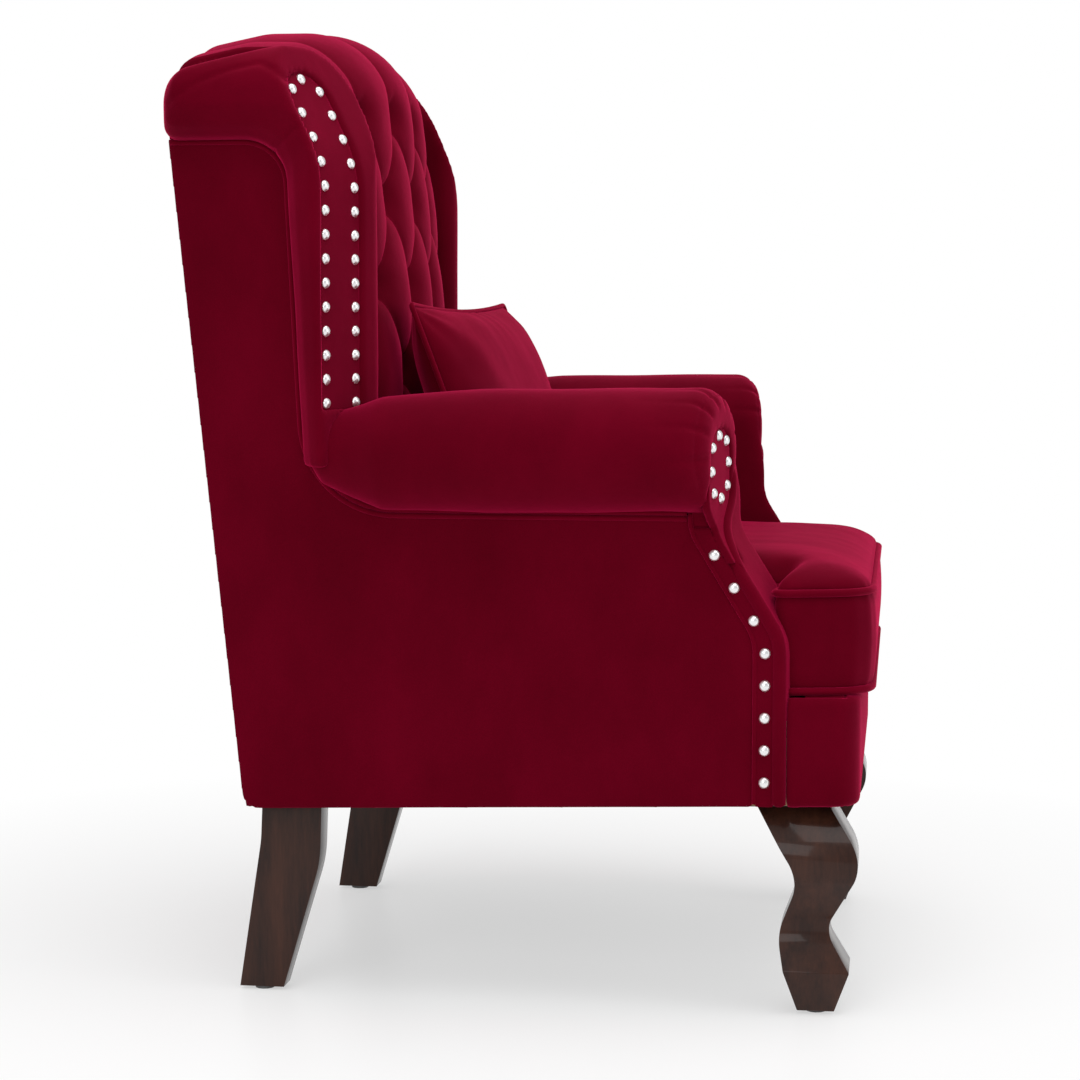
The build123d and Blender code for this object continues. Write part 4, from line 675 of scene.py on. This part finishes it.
def rounded_rim(x, z, away, behind):
    """Distances from the roll's axis and behind its face, with the edge between the two rounded over."""
    a = away - (ROLL_RADIUS - ARM_RIM)
    b = ARM_RIM - behind
    both = (z > RIM_LOW_Z) & (behind < RIM_DEPTH) & (a > 0) & (b > 0)
    full = np.where(x > ROLL_X, smoothstep(*RIM_OUTER_RANGE, z), smoothstep(*RIM_INNER_RANGE, z))
    a, b = np.where(both, a, 1.0), np.where(both, b, 1.0)
    scale = 1 + full * (np.maximum(a, b) / np.hypot(a, b) - 1)
    new_away = np.where(both, ROLL_RADIUS - ARM_RIM + a * scale, away)
    new_behind = np.where(both, ARM_RIM - b * scale, behind)
    return new_away, new_behind


def arm_pad(side):
    sign = SIGN[side]
    piece = soften(f"arm_pad_{side}", cell=0.0036, rounds=8, grow=0.0008)
    p = points_of(piece.data)
    x, y, z = p[:, 0] * sign, p[:, 1] + MIDDLE_Y, p[:, 2]
    face_y = ARM_FRONT_Y - (ROLL_X - x) * math.tan(ARM_TURN)
    old_behind = (y - face_y) * math.cos(ARM_TURN)
    old_away = np.hypot(x - ROLL_X, z - ROLL_Z)
    outer = smoothstep(*OUTER_FACE, x)
    z = drawn_to_welt(x, y, z, outer)
    y = y + REAR_REACH * smoothstep(*REAR_RANGE, y) * outer
    away, behind = rounded_rim(x, z, old_away, old_behind)
    ratio = away / np.maximum(old_away, 1e-6)
    x = ROLL_X + (x - ROLL_X) * ratio
    z = ROLL_Z + (z - ROLL_Z) * ratio
    y = y + (behind - old_behind) / math.cos(ARM_TURN)
    rim_foot = smoothstep(*RIM_FOOT_RANGE, z) * (z < RIM_FOOT_TOP_Z) * (y < RIM_FOOT_Y)
    x = np.where(x > RIM_FOOT_X, RIM_FOOT_X + (x - RIM_FOOT_X) * (1 - rim_foot), x)
    angle = np.arctan2(z - ROLL_Z, x - ROLL_X)
    above = z > ROLL_Z - PLEAT_DROP
    near = np.exp(-np.clip(behind, 0, 1) / PLEAT_LENGTH) * smoothstep(*PLEAT_RANGE, away) * above
    cut = pleats(angle) * near * PLEAT_DEPTH
    outward = np.stack((np.cos(angle) * sign, np.zeros_like(angle), np.sin(angle)), 1)
    p = np.stack((x * sign, y - MIDDLE_Y, z), 1)
    p -= outward * cut[:, None]
    p[:, 1] += cut * PLEAT_BACK
    ripple = waves(p, 0.09, seed=5.0 + sign) * RIPPLE
    p += normals_of(piece.data) * ripple[:, None] * smoothstep(*RIPPLE_RANGE, behind)[:, None]
    set_points(piece.data, p)
    dress(piece, f"arm_pad_{side}")


# Wings: sewn folds round the scroll of the nailed panel and a seam along the top, as (y, z) points
WING_SEAMS = (
    ((0.390, 0.978), (0.380, 0.987), (0.358, 1.000), (0.324, 1.013), (0.292, 1.020),
     (0.276, 1.012), (0.264, 1.002)),
    ((0.246, 1.050), (0.246, 1.015)),
    ((0.222, 1.050), (0.232, 1.006)),
    ((0.284, 0.928), (0.252, 0.952)),
)
SEAM_WIDTH, SEAM_DEPTH, SEAM_FACE = 0.0030, 0.0022, (0.306, 0.325)
WING_FOOT_DROP, WING_FOOT_RANGE, WING_FOOT_FACE = 0.008, (0.600, 0.618), (0.306, 0.313)


def distance_to_line(points, line):
    """Distance of each flat point from a line of points."""
    best = np.full(len(points), np.inf)
    for a, b in zip(line, line[1:]):
        best = np.minimum(best, run_gap(points, np.array(a), np.array(b)))
    return best


def wing_pad(side):
    sign = SIGN[side]
    piece = soften(f"wing_pad_{side}", cell=0.0034, rounds=12, grow=0.0014)
    p = points_of(piece.data)
    normals = normals_of(piece.data)
    out = p[:, 0] * sign
    foot = (1 - smoothstep(*WING_FOOT_RANGE, p[:, 2])) * smoothstep(*WING_FOOT_FACE, out)
    p[:, 2] -= WING_FOOT_DROP * foot
    flat = np.stack((p[:, 1] + MIDDLE_Y, p[:, 2]), 1)
    cut = np.zeros(len(p))
    for line in WING_SEAMS:
        cut = np.maximum(cut, np.exp(-((distance_to_line(flat, line) / SEAM_WIDTH) ** 2)))
    ripple = waves(p, 0.10, seed=9.0 + sign) * RIPPLE
    set_points(piece.data, p + normals * (ripple - SEAM_DEPTH * cut * smoothstep(*SEAM_FACE, out))[:, None])
    dress(piece, f"wing_pad_{side}")


# Welts and edges of the sides
SIDE_CORD_RADIUS, SIDE_CORD_SHIFT, SIDE_CORD_PROUD = 0.0029, 0.0030, 0.0014
WELT_FRONT_Y, WELT_WING_Y, WELT_WING_BEND, WELT_REAR_INSET = -0.160, 0.272, 0.050, 0.002
ARM_FOOT_Y, ARM_FOOT_Z, ARM_BEND_Z, ARM_BEND = -0.266, 0.2325, 0.410, 0.056
SCROLL_BEND_Z, SCROLL_Z = 0.525, 0.620
EDGE_RADIUS, EDGE_SHIFT, EDGE_ROUNDS = 0.0080, 0.0068, 6
TURN_RANGE, EDGE_FORWARD, FORWARD_RANGE = (0.455, 0.500), 0.002, (0.48, 0.52)
EDGE_SINK, SINK_RANGE = 0.016, (0.575, 0.620)
# Heights, and how far out the rolled edge lies at each
EDGE_Z, EDGE_X = (0.470, 0.500, 0.530, 0.556, 0.590), (0.3105, 0.302, 0.284, 0.262, 0.259)
STRIP_CORD_RADIUS, STRIP_CORD_SHIFT, STRIP_CORD_PROUD, STRIP_TOP_Z = 0.0026, 0.0325, 0.0008, 0.546


def side_welts(side):
    """Double cord along the border between the side panel and the pads."""
    corners = (
        (WELT_FRONT_Y, WELT_Z, 0),
        (WELT_BEND_Y, WELT_Z, WELT_BEND),
        (WELT_WING_Y, WELT_TOP_Z, WELT_WING_BEND),
        (rear_y(WELT_TOP_Z) - WELT_REAR_INSET, WELT_TOP_Z, 0),
    )
    line, _ = even_points(rounded_line(corners), CORD_STEP)
    across = normals_along(line)
    cords = []
    for number, shift in enumerate((-SIDE_CORD_SHIFT, SIDE_CORD_SHIFT)):
        at = line + across * shift
        out = np.full(len(at), SIGN[side] * (SIDE_X + SIDE_CORD_PROUD))
        path = np.stack((out, at[:, 0] - MIDDLE_Y, at[:, 1]), 1)
        cords.append(tube(f"side_cord_{side}_{number}", path, SIDE_CORD_RADIUS))
    dress(cords[0], f"side_welt_{side}")
    trim(cords[1])


def front_s(shift):
    """Front line of the arm from the side, from the base up, moved back by a shift."""
    corners = (
        (ARM_FOOT_Y + shift, ARM_FOOT_Z, 0),
        (ARM_FOOT_Y + shift, ARM_BEND_Z, ARM_BEND),
        (ARM_FRONT_Y + shift, SCROLL_BEND_Z, ARM_BEND),
        (ARM_FRONT_Y + shift, SCROLL_Z, 0),
    )
    return even_points(rounded_line(corners), CORD_STEP)[0]


def rolled_edge(side):
    """Rolled edge up the front of the arm into the scroll."""
    line = front_s(EDGE_SHIFT)
    z = line[:, 1]
    x = np.interp(z, EDGE_Z, EDGE_X)
    for _ in range(EDGE_ROUNDS):
        x[1:-1] = (x[:-2] + 2 * x[1:-1] + x[2:]) / 4
    y = line[:, 0] - (ROLL_X - x) * math.tan(ARM_TURN) * smoothstep(*TURN_RANGE, z)
    y = y - EDGE_FORWARD * smoothstep(*FORWARD_RANGE, z) + EDGE_SINK * smoothstep(*SINK_RANGE, z)
    path = np.stack((x * SIGN[side], y - MIDDLE_Y, z), 1)
    trim(tube(f"arm_rolled_edge_{side}", path, EDGE_RADIUS, material=VELVET, sides=16))


def strip_cord(side):
    """Cord beside the nailed strip."""
    seam = front_s(STRIP_CORD_SHIFT)
    seam = seam[seam[:, 1] < STRIP_TOP_Z]
    out = np.full(len(seam), SIGN[side] * (SIDE_X + STRIP_CORD_PROUD))
    path = np.stack((out, seam[:, 0] - MIDDLE_Y, seam[:, 1]), 1)
    trim(tube(f"arm_seam_cord_{side}", path, STRIP_CORD_RADIUS))


# Flat panels, border and deck; a panel has its name, its size of cell and how far it grows
PANELS = (("outside_side_panel", 0.003, 0.0010), ("arm_front_panel", 0.002, 0.0007),
          ("wing_front_panel", 0.002, 0.0007))
BORDER_RISE, BORDER_RISE_FROM, BORDER_RISE_FULL = 0.0032, 0.030, 0.004


def front_border():
    """Border under the cushion, its top filled up against the deck."""
    piece = soften("front_border", cell=0.003, rounds=6, grow=0.0016)
    p = points_of(piece.data)
    top = p[:, 2].max()
    p[:, 2] += BORDER_RISE * smoothstep(top - BORDER_RISE_FROM, top - BORDER_RISE_FULL, p[:, 2])
    set_points(piece.data, p)
    dress(piece, "front_border")


for side in SIGN:
    arm_pad(side)
    wing_pad(side)
    side_welts(side)
    rolled_edge(side)
    strip_cord(side)
    for panel, cell, grow in PANELS:
        dress(soften(f"{panel}_{side}", cell, rounds=2, grow=grow), f"{panel}_{side}")
dress(soften("outside_back_panel", cell=0.004, rounds=3, grow=0.0008), "outside_back_panel")
front_border()
dress(soften("seat_deck", cell=0.006, rounds=4), "seat_deck")


# Seat cushion: T-shaped, its top crowned and its front swelling between the two welts
SLOPE, SLOPE_Z, SLOPE_Y = 0.02744, 0.232, -0.330
CUSHION_LOW, CUSHION_HIGH, WELT_R = 0.1183, 0.232, 0.0042
WELT_LEVEL, EAR_REACH, EARS_Y = 0.23, 0.2995, -0.345
CUSHION_CROWN, CROWN_REACH, CROWN_POWER = 0.044, 0.110, 0.70
CROWN_LOSS, CROWN_LOSS_RANGE = 0.2, (-0.06, -0.24)
EAR_X, INNER_EAR_X, EAR_DEPTH = 0.285, 0.20, 0.012
HELD_LEAST, HELD_RANGE = 0.16, (0.10, 0.30)
EDGE_RANGE, RUMPLE_RANGE = (0.004, 0.016), (0.004, 0.03)
FRONT_SWELL, SWELL_RANGE, SEAM_DRAW, SEAM_REACH = 0.0042, (-0.250, -0.300), 0.0034, 0.0060
BROAD_RUMPLE, FINE_RUMPLE, PULL_DEPTH, PULL_LENGTH = 0.0016, 0.0006, 0.0003, 0.030
ON_TOP, ON_SIDE, NEAREST = 0.0006, 0.0015, 0.004


def base_z(y):
    return SLOPE_Z - SLOPE * (y - SLOPE_Y)


def cushion_outline():
    """T-shaped outline of the frame's cushion where its top welt is sewn, in order."""
    cloud = np.unique(np.round(points_of(frame["nodes"]["seat_cushion"].data), 6), axis=0)
    y = cloud[:, 1] + MIDDLE_Y
    height = np.round(cloud[:, 2] - base_z(y), 4)
    levels = set(height[height < WELT_LEVEL])
    best = max(h for h in levels if np.abs(cloud[height == h, 0]).max() > EAR_REACH)
    points = np.stack((cloud[height == best, 0], y[height == best]), 1)
    angle = np.arctan2(points[:, 1] - EARS_Y, points[:, 0])
    return points[np.argsort(angle)]


def nearest_on(points, outline):
    """Distance of each flat point from a closed outline, and the direction out of the outline there."""
    best = np.full(len(points), np.inf)
    way = np.zeros((len(points), 2))
    for a, b in zip(outline, np.roll(outline, -1, 0)):
        length = np.linalg.norm(b - a)
        if length < 1e-6:
            continue
        gap = run_gap(points, a, b)
        closer = gap < best
        best[closer] = gap[closer]
        way[closer] = np.array((b[1] - a[1], a[0] - b[0])) / length
    return best, way


def soft_distance(points, outline):
    """Distance from the outline that has no ridges, as a filling rounds them off."""
    ring = even_loop(outline, LOOP_STEP)
    step = np.linalg.norm(np.diff(ring, axis=0), axis=1).mean()
    ear_rear = outline[np.abs(outline[:, 0]) > EAR_X, 1].max()
    held = HELD_LEAST + (1 - HELD_LEAST) * smoothstep(*HELD_RANGE, ring[:, 1] - ear_rear)
    inner = (np.abs(ring[:, 0]) > INNER_EAR_X) & (ring[:, 1] > ear_rear - EAR_DEPTH)
    pull = np.where(inner, held, 1.0)
    total = np.zeros(len(points))
    for at, share in zip(ring[:-1], pull[:-1]):
        total += share * step / np.maximum(np.linalg.norm(points - at, axis=1), NEAREST) ** 3
    return np.sqrt(2 / total)


def cushion_block(outline):
    """The cushion's outline raised to a flat block of square cells."""
    bm = bmesh.new()
    low = [bm.verts.new((x, y, CUSHION_LOW)) for x, y in outline]
    high = [bm.verts.new((x, y, CUSHION_HIGH)) for x, y in outline]
    bm.faces.new(low[::-1])
    bm.faces.new(high)
    join_rings(bm, low, high)
    piece = link("cushion_cover", mesh_from(bm, "cushion_cover"), VELVET)
    add_remesh(piece, cell=0.0040)
    return applied(piece)


def side_swell(p):
    """How far the cushion's sides stand out at each point: full at the front, drawn in along the welts."""
    up = (p[:, 2] - CUSHION_LOW) / (CUSHION_HIGH - CUSHION_LOW)
    swell = FRONT_SWELL * np.sin(math.pi * np.clip(up, 0, 1)) * smoothstep(*SWELL_RANGE, p[:, 1])
    for seam in (CUSHION_LOW + WELT_R, CUSHION_HIGH - WELT_R):
        swell = swell - SEAM_DRAW * np.exp(-(((p[:, 2] - seam) / SEAM_REACH) ** 2))
    return swell


def top_rise(p, gap, outline):
    """How far the cushion's top rises at each point: its crown, rumples and the pulls along its welt."""
    on_edge = smoothstep(*EDGE_RANGE, gap)
    depth = gap * (1 - on_edge) + soft_distance(p[:, :2], outline) * on_edge
    share = np.clip(depth / CROWN_REACH, 0, 1)
    crown = CUSHION_CROWN * (1 - (1 - share) ** 2.0) ** CROWN_POWER
    crown *= 1 - CROWN_LOSS * smoothstep(*CROWN_LOSS_RANGE, p[:, 1])
    rumple = waves(p, 0.11, seed=1.0) * BROAD_RUMPLE + waves(p, 0.035, seed=4.0) * FINE_RUMPLE
    pulls = np.sin(p[:, 0] * 95 + 2.0 * np.sin(p[:, 1] * 23)) * np.exp(-gap / PULL_LENGTH) * PULL_DEPTH
    return crown + (rumple + pulls) * smoothstep(*RUMPLE_RANGE, gap)


def cushion_cover(outline):
    piece = cushion_block(outline)
    p = points_of(piece.data)
    gap, way = nearest_on(p[:, :2], outline)
    rise = np.where(p[:, 2] > CUSHION_HIGH - ON_TOP, top_rise(p, gap, outline), 0.0)
    p[:, :2] += way * (side_swell(p) * (gap < ON_SIDE))[:, None]
    p[:, 2] += rise
    p[:, 2] += base_z(p[:, 1])
    p[:, 1] -= MIDDLE_Y
    set_points(piece.data, p)
    add_smooth(piece, rounds=5)
    applied(piece)
    dress(piece, "seat_cushion", body="cushion")


def cushion_cords(outline):
    path = eased_loop(even_loop(outline, LOOP_STEP)[:-1], rounds=2)
    for place, height in (("top", CUSHION_HIGH - WELT_R), ("bottom", CUSHION_LOW + WELT_R)):
        at = np.stack((path[:, 0], path[:, 1] - MIDDLE_Y, base_z(path[:, 1]) + height), 1)
        cord = tube(f"cushion_cord_{place}", at, WELT_R, closed=True)
        dress(cord, f"cushion_piping_{place}", body="cushion")


def cushion():
    outline = cushion_outline()
    cushion_cover(outline)
    cushion_cords(outline)


cushion()


# Throw pillow: knife edges, its cloth gathered towards the corners
PILLOW_LEAN, PILLOW_TURN = math.radians(20), math.radians(6)
PILLOW_HALF_X, PILLOW_HALF_Z, PILLOW_THICK = 0.200, 0.142, 0.047
PILLOW_COLUMNS, PILLOW_ROWS = 131, 95
PILLOW_SQUARE, PILLOW_FULL, PILLOW_DRAW = 3.8, 0.62, 0.009
GATHER_DEPTH, GATHER_X, GATHER_Z, GATHER_CORNER = 0.0008, 0.030, 0.026, 0.075
CORNER_GATHER, GATHER_THIN, REAR_SHARE = 2.2, 0.012, 0.6
DENT_DEPTH, DENT_SIZE, DENT_THIN = 0.0022, 0.06, 0.03
PILLOW_CORD_RADIUS, PILLOW_CORD_OUT = 0.0030, 0.0022


def pillow_place():
    """Middle of the frame's pillow and its directions: along its width, up its face, out of its face."""
    cloud = points_of(frame["nodes"]["throw_pillow"].data)
    side_dir = np.array((math.cos(PILLOW_TURN), -math.sin(PILLOW_TURN), 0.0))
    face_dir = np.array((-math.sin(PILLOW_TURN) * math.cos(PILLOW_LEAN),
                         -math.cos(PILLOW_TURN) * math.cos(PILLOW_LEAN), math.sin(PILLOW_LEAN)))
    up_dir = np.cross(face_dir, side_dir)
    local = (cloud - cloud.mean(0)) @ np.stack((side_dir, up_dir, face_dir), 1)
    half = (local.min(0) + local.max(0)) / 2
    return cloud.mean(0) + np.stack((side_dir, up_dir, face_dir)).T @ half, side_dir, up_dir, face_dir


def pillow_grid():
    """Flat places of the cover's points, half its thickness there, and how much the cloth is gathered."""
    u, v = np.meshgrid(np.linspace(-1, 1, PILLOW_COLUMNS), np.linspace(-1, 1, PILLOW_ROWS))
    fat = PILLOW_THICK * ((1 - np.abs(u) ** PILLOW_SQUARE) * (1 - np.abs(v) ** PILLOW_SQUARE)) ** PILLOW_FULL
    x = PILLOW_HALF_X * u - PILLOW_DRAW * np.sign(u) * np.abs(u) ** 3 * (1 - v ** 2)
    z = PILLOW_HALF_Z * v - PILLOW_DRAW * np.sign(v) * np.abs(v) ** 3 * (1 - u ** 2)
    edge_x, edge_z = (1 - np.abs(u)) * PILLOW_HALF_X, (1 - np.abs(v)) * PILLOW_HALF_Z
    gathers = np.sin(z * 150 + 2.6 * np.sin(z * 31)) * np.exp(-edge_x / GATHER_X)
    gathers += np.sin(x * 120 + 3.1 * np.sin(x * 27)) * np.exp(-edge_z / GATHER_Z)
    corner = np.exp(-np.hypot(edge_x, edge_z) / GATHER_CORNER)
    gathers += CORNER_GATHER * corner * np.sin(9 * np.arctan2(edge_z, edge_x) + 0.8)
    return x, z, fat, GATHER_DEPTH * gathers * np.clip(fat / GATHER_THIN, 0, 1)


def pillow_cover(place, x, z, fat, gathers):
    middle, side_dir, up_dir, face_dir = place
    layers = []
    for way, share in ((1, 1), (-1, REAR_SHARE)):
        height = way * (fat + gathers * share)
        layers.append(middle + x[..., None] * side_dir + z[..., None] * up_dir + height[..., None] * face_dir)
    soft = waves(layers[0].reshape(-1, 3), DENT_SIZE, seed=2.0).reshape(x.shape)
    dents = soft * DENT_DEPTH * np.clip(fat / DENT_THIN, 0, 1)
    layers[0] = layers[0] + dents[..., None] * face_dir
    bm = bmesh.new()
    made = [[[bm.verts.new(p) for p in row] for row in points] for points in layers]
    for layer, verts in enumerate(made):
        for low, high in zip(verts, verts[1:]):
            for c in range(PILLOW_COLUMNS - 1):
                quad = (low[c], low[c + 1], high[c + 1], high[c])
                bm.faces.new(quad if layer == 0 else quad[::-1])
    bmesh.ops.remove_doubles(bm, verts=bm.verts, dist=10 * WELD)
    bmesh.ops.recalc_face_normals(bm, faces=bm.faces)
    piece = link("pillow_cover", mesh_from(bm, "pillow_cover"), VELVET)
    dress(piece, "throw_pillow", body="pillow")


def pillow_cord(place, x, z):
    middle, side_dir, up_dir, _ = place
    rim = [(0, c) for c in range(PILLOW_COLUMNS)]
    rim += [(r, -1) for r in range(1, PILLOW_ROWS)]
    rim += [(-1, c) for c in range(PILLOW_COLUMNS - 2, -1, -1)]
    rim += [(r, 0) for r in range(PILLOW_ROWS - 2, 0, -1)]
    out_x = x + np.copysign(PILLOW_CORD_OUT, x)
    out_z = z + np.copysign(PILLOW_CORD_OUT, z)
    path = np.array([middle + out_x[at] * side_dir + out_z[at] * up_dir for at in rim])
    cord = tube("pillow_cord", eased_loop(path, rounds=3), PILLOW_CORD_RADIUS, closed=True)
    dress(cord, "pillow_piping", body="pillow")


def pillow():
    place = pillow_place()
    x, z, fat, gathers = pillow_grid()
    pillow_cover(place, x, z, fat, gathers)
    pillow_cord(place, x, z)


pillow()


# Legs: sharp sawn edges eased a little
LEG_EDGE = 0.0016


def eased_leg(node):
    bm = welded_copy(node)
    bmesh.ops.dissolve_limit(bm, angle_limit=math.radians(1.0), verts=bm.verts, edges=bm.edges)
    piece = link(node + "_eased", mesh_from(bm, node + "_eased"), LEG)
    bevel = piece.modifiers.new("bevel", "BEVEL")
    bevel.width = LEG_EDGE
    bevel.segments = 3
    bevel.limit_method = "ANGLE"
    bevel.angle_limit = math.radians(35)
    applied(piece)
    piece.data.set_sharp_from_angle(angle=math.radians(40))
    dress(piece, node)


for side in SIGN:
    eased_leg(f"front_leg_{side}")
    eased_leg(f"rear_leg_{side}")


# Nails: round polished domes seated where the frame's domes are, a little wider and higher than these
NAIL_WIDER, NAIL_HIGHER = 1.12, 1.4


def islands(mesh):
    """Corner indices of each separate solid of a mesh."""
    links = [[] for _ in mesh.vertices]
    for edge in mesh.edges:
        a, b = edge.vertices
        links[a].append(b)
        links[b].append(a)
    welded = {}
    for vertex in mesh.vertices:
        key = tuple(round(c, 6) for c in vertex.co)
        if key in welded:
            links[vertex.index].append(welded[key])
            links[welded[key]].append(vertex.index)
        else:
            welded[key] = vertex.index
    seen = set()
    found = []
    for start in range(len(mesh.vertices)):
        if start in seen:
            continue
        group, stack = [], [start]
        seen.add(start)
        while stack:
            at = stack.pop()
            group.append(at)
            for other in links[at]:
                if other not in seen:
                    seen.add(other)
                    stack.append(other)
        found.append(group)
    return found


def nail_domes(node):
    mesh = frame["nodes"][node].data
    points = points_of(mesh)
    bm = bmesh.new()
    for group in islands(mesh):
        cloud = np.unique(np.round(points[group], 6), axis=0)
        middle = cloud.mean(0)
        _, _, axes = np.linalg.svd(cloud - middle)
        normal = axes[2]
        along = (cloud - middle) @ normal
        across = np.linalg.norm((cloud - middle) - np.outer(along, normal), axis=1)
        high = along > 0
        if across[high].max() > across[~high].max():
            normal, along = -normal, -along
        base = middle + normal * along.min()
        height = NAIL_HIGHER * (along.max() - along.min())
        dome(bm, Vector(base), normal, across.max() * NAIL_WIDER, height)
    dress(link(node + "_domes", mesh_from(bm, node + "_domes"), CHROME), node)


for side in SIGN:
    nail_domes(f"wing_nails_{side}")
    nail_domes(f"arm_nails_{side}")


# Studio: a pale floor that glows white away from the chair and keeps its shadow, soft lights and the camera
WHITE, FLOOR_COLOUR, FLOOR_HALF = (1.0, 1.0, 1.0, 1.0), (0.94, 0.94, 0.94, 1.0), 30.0
SHADOW_REACH, WHITE_REACH, GLOW_NEAR = 0.35, 1.25, 0.5
WORLD_LIGHT, WORLD_SEEN = 0.55, 1.0
# Name, place, target, width and height in metres, and power in watts
LIGHTS = (
    ("over", (-0.6, -0.4, 3.2), (0, 0, 0.5), (2.6, 2.6), 54),
    ("side", (-3.2, 0.9, 1.8), (0, 0, 0.6), (2.0, 2.0), 30),
    ("front", (-0.6, -3.4, 1.7), (0, 0, 0.6), (1.8, 2.2), 22),
)
CAMERA_TURN, CAMERA_PITCH = math.radians(8), math.radians(5)
CAMERA_PLACE, LENS, SENSOR = (-3.0626, -0.3888 - MIDDLE_Y, 0.7564), 86.667, 36.0


def seen_by(tree, ray):
    """1 for what the camera sees itself or through the named kind of ray, else 0."""
    path = add(tree, "ShaderNodeLightPath")
    seen = add(tree, "ShaderNodeMath", operation="MAXIMUM")
    tree.links.new(path.outputs["Is Camera Ray"], seen.inputs[0])
    tree.links.new(path.outputs[ray], seen.inputs[1])
    return seen.outputs["Value"]


def floor():
    bm = bmesh.new()
    bmesh.ops.create_grid(bm, x_segments=2, y_segments=2, size=FLOOR_HALF)
    material, tree, shader = new_material("floor")
    set_inputs(shader, {"Base Color": FLOOR_COLOUR, "Roughness": 0.35, "Specular IOR Level": 0.3})
    out = [n for n in tree.nodes if n.type == "OUTPUT_MATERIAL"][0]
    glow = add(tree, "ShaderNodeEmission", in_Strength=1.0, in_Color=WHITE)
    length = add(tree, "ShaderNodeVectorMath", operation="LENGTH")
    tree.links.new(object_coords(tree), length.inputs[0])
    fade = add(tree, "ShaderNodeMapRange", clamp=True, in_From_Min=SHADOW_REACH, in_From_Max=WHITE_REACH,
               in_To_Min=GLOW_NEAR)
    tree.links.new(length.outputs["Value"], fade.inputs["Value"])
    share = add(tree, "ShaderNodeMath", operation="MULTIPLY")
    tree.links.new(fade.outputs["Result"], share.inputs[0])
    tree.links.new(seen_by(tree, "Is Glossy Ray"), share.inputs[1])
    mixed = add(tree, "ShaderNodeMixShader")
    tree.links.new(share.outputs["Value"], mixed.inputs["Fac"])
    tree.links.new(shader.outputs["BSDF"], mixed.inputs[1])
    tree.links.new(glow.outputs["Emission"], mixed.inputs[2])
    tree.links.new(mixed.outputs["Shader"], out.inputs["Surface"])
    link("floor", mesh_from(bm, "floor"), material, smooth=False)


def surroundings():
    world = bpy.data.worlds.new("studio")
    bpy.context.scene.world = world
    world.use_nodes = True
    tree = world.node_tree
    tree.nodes.clear()
    out = tree.nodes.new("ShaderNodeOutputWorld")
    backdrop = add(tree, "ShaderNodeBackground", in_Color=WHITE)
    strength = add(tree, "ShaderNodeMapRange", in_To_Min=WORLD_LIGHT, in_To_Max=WORLD_SEEN)
    tree.links.new(seen_by(tree, "Is Transmission Ray"), strength.inputs["Value"])
    tree.links.new(strength.outputs["Result"], backdrop.inputs["Strength"])
    tree.links.new(backdrop.outputs["Background"], out.inputs["Surface"])


def area_light(name, place, target, size, power):
    data = bpy.data.lights.new(name, "AREA")
    data.shape = "RECTANGLE"
    data.size, data.size_y = size
    data.energy = power
    lamp = bpy.data.objects.new(name, data)
    bpy.context.scene.collection.objects.link(lamp)
    lamp.location = place
    lamp.rotation_euler = (Vector(target) - Vector(place)).to_track_quat("-Z", "Y").to_euler()


def camera():
    turn, pitch = CAMERA_TURN, CAMERA_PITCH
    look = Vector((math.cos(turn) * math.cos(pitch), math.sin(turn) * math.cos(pitch), -math.sin(pitch)))
    right = Vector((math.sin(turn), -math.cos(turn), 0))
    up = Vector((math.cos(turn) * math.sin(pitch), math.sin(turn) * math.sin(pitch), math.cos(pitch)))
    data = bpy.data.cameras.new("camera")
    data.sensor_width = SENSOR
    data.lens = LENS
    seen = bpy.data.objects.new("camera", data)
    bpy.context.scene.collection.objects.link(seen)
    turned = Matrix((right, up, -look)).transposed().to_4x4()
    seen.matrix_world = Matrix.Translation(CAMERA_PLACE) @ turned
    bpy.context.scene.camera = seen


floor()
surroundings()
for light in LIGHTS:
    area_light(*light)
camera()
bpy.context.scene.view_settings.view_transform = "Standard"
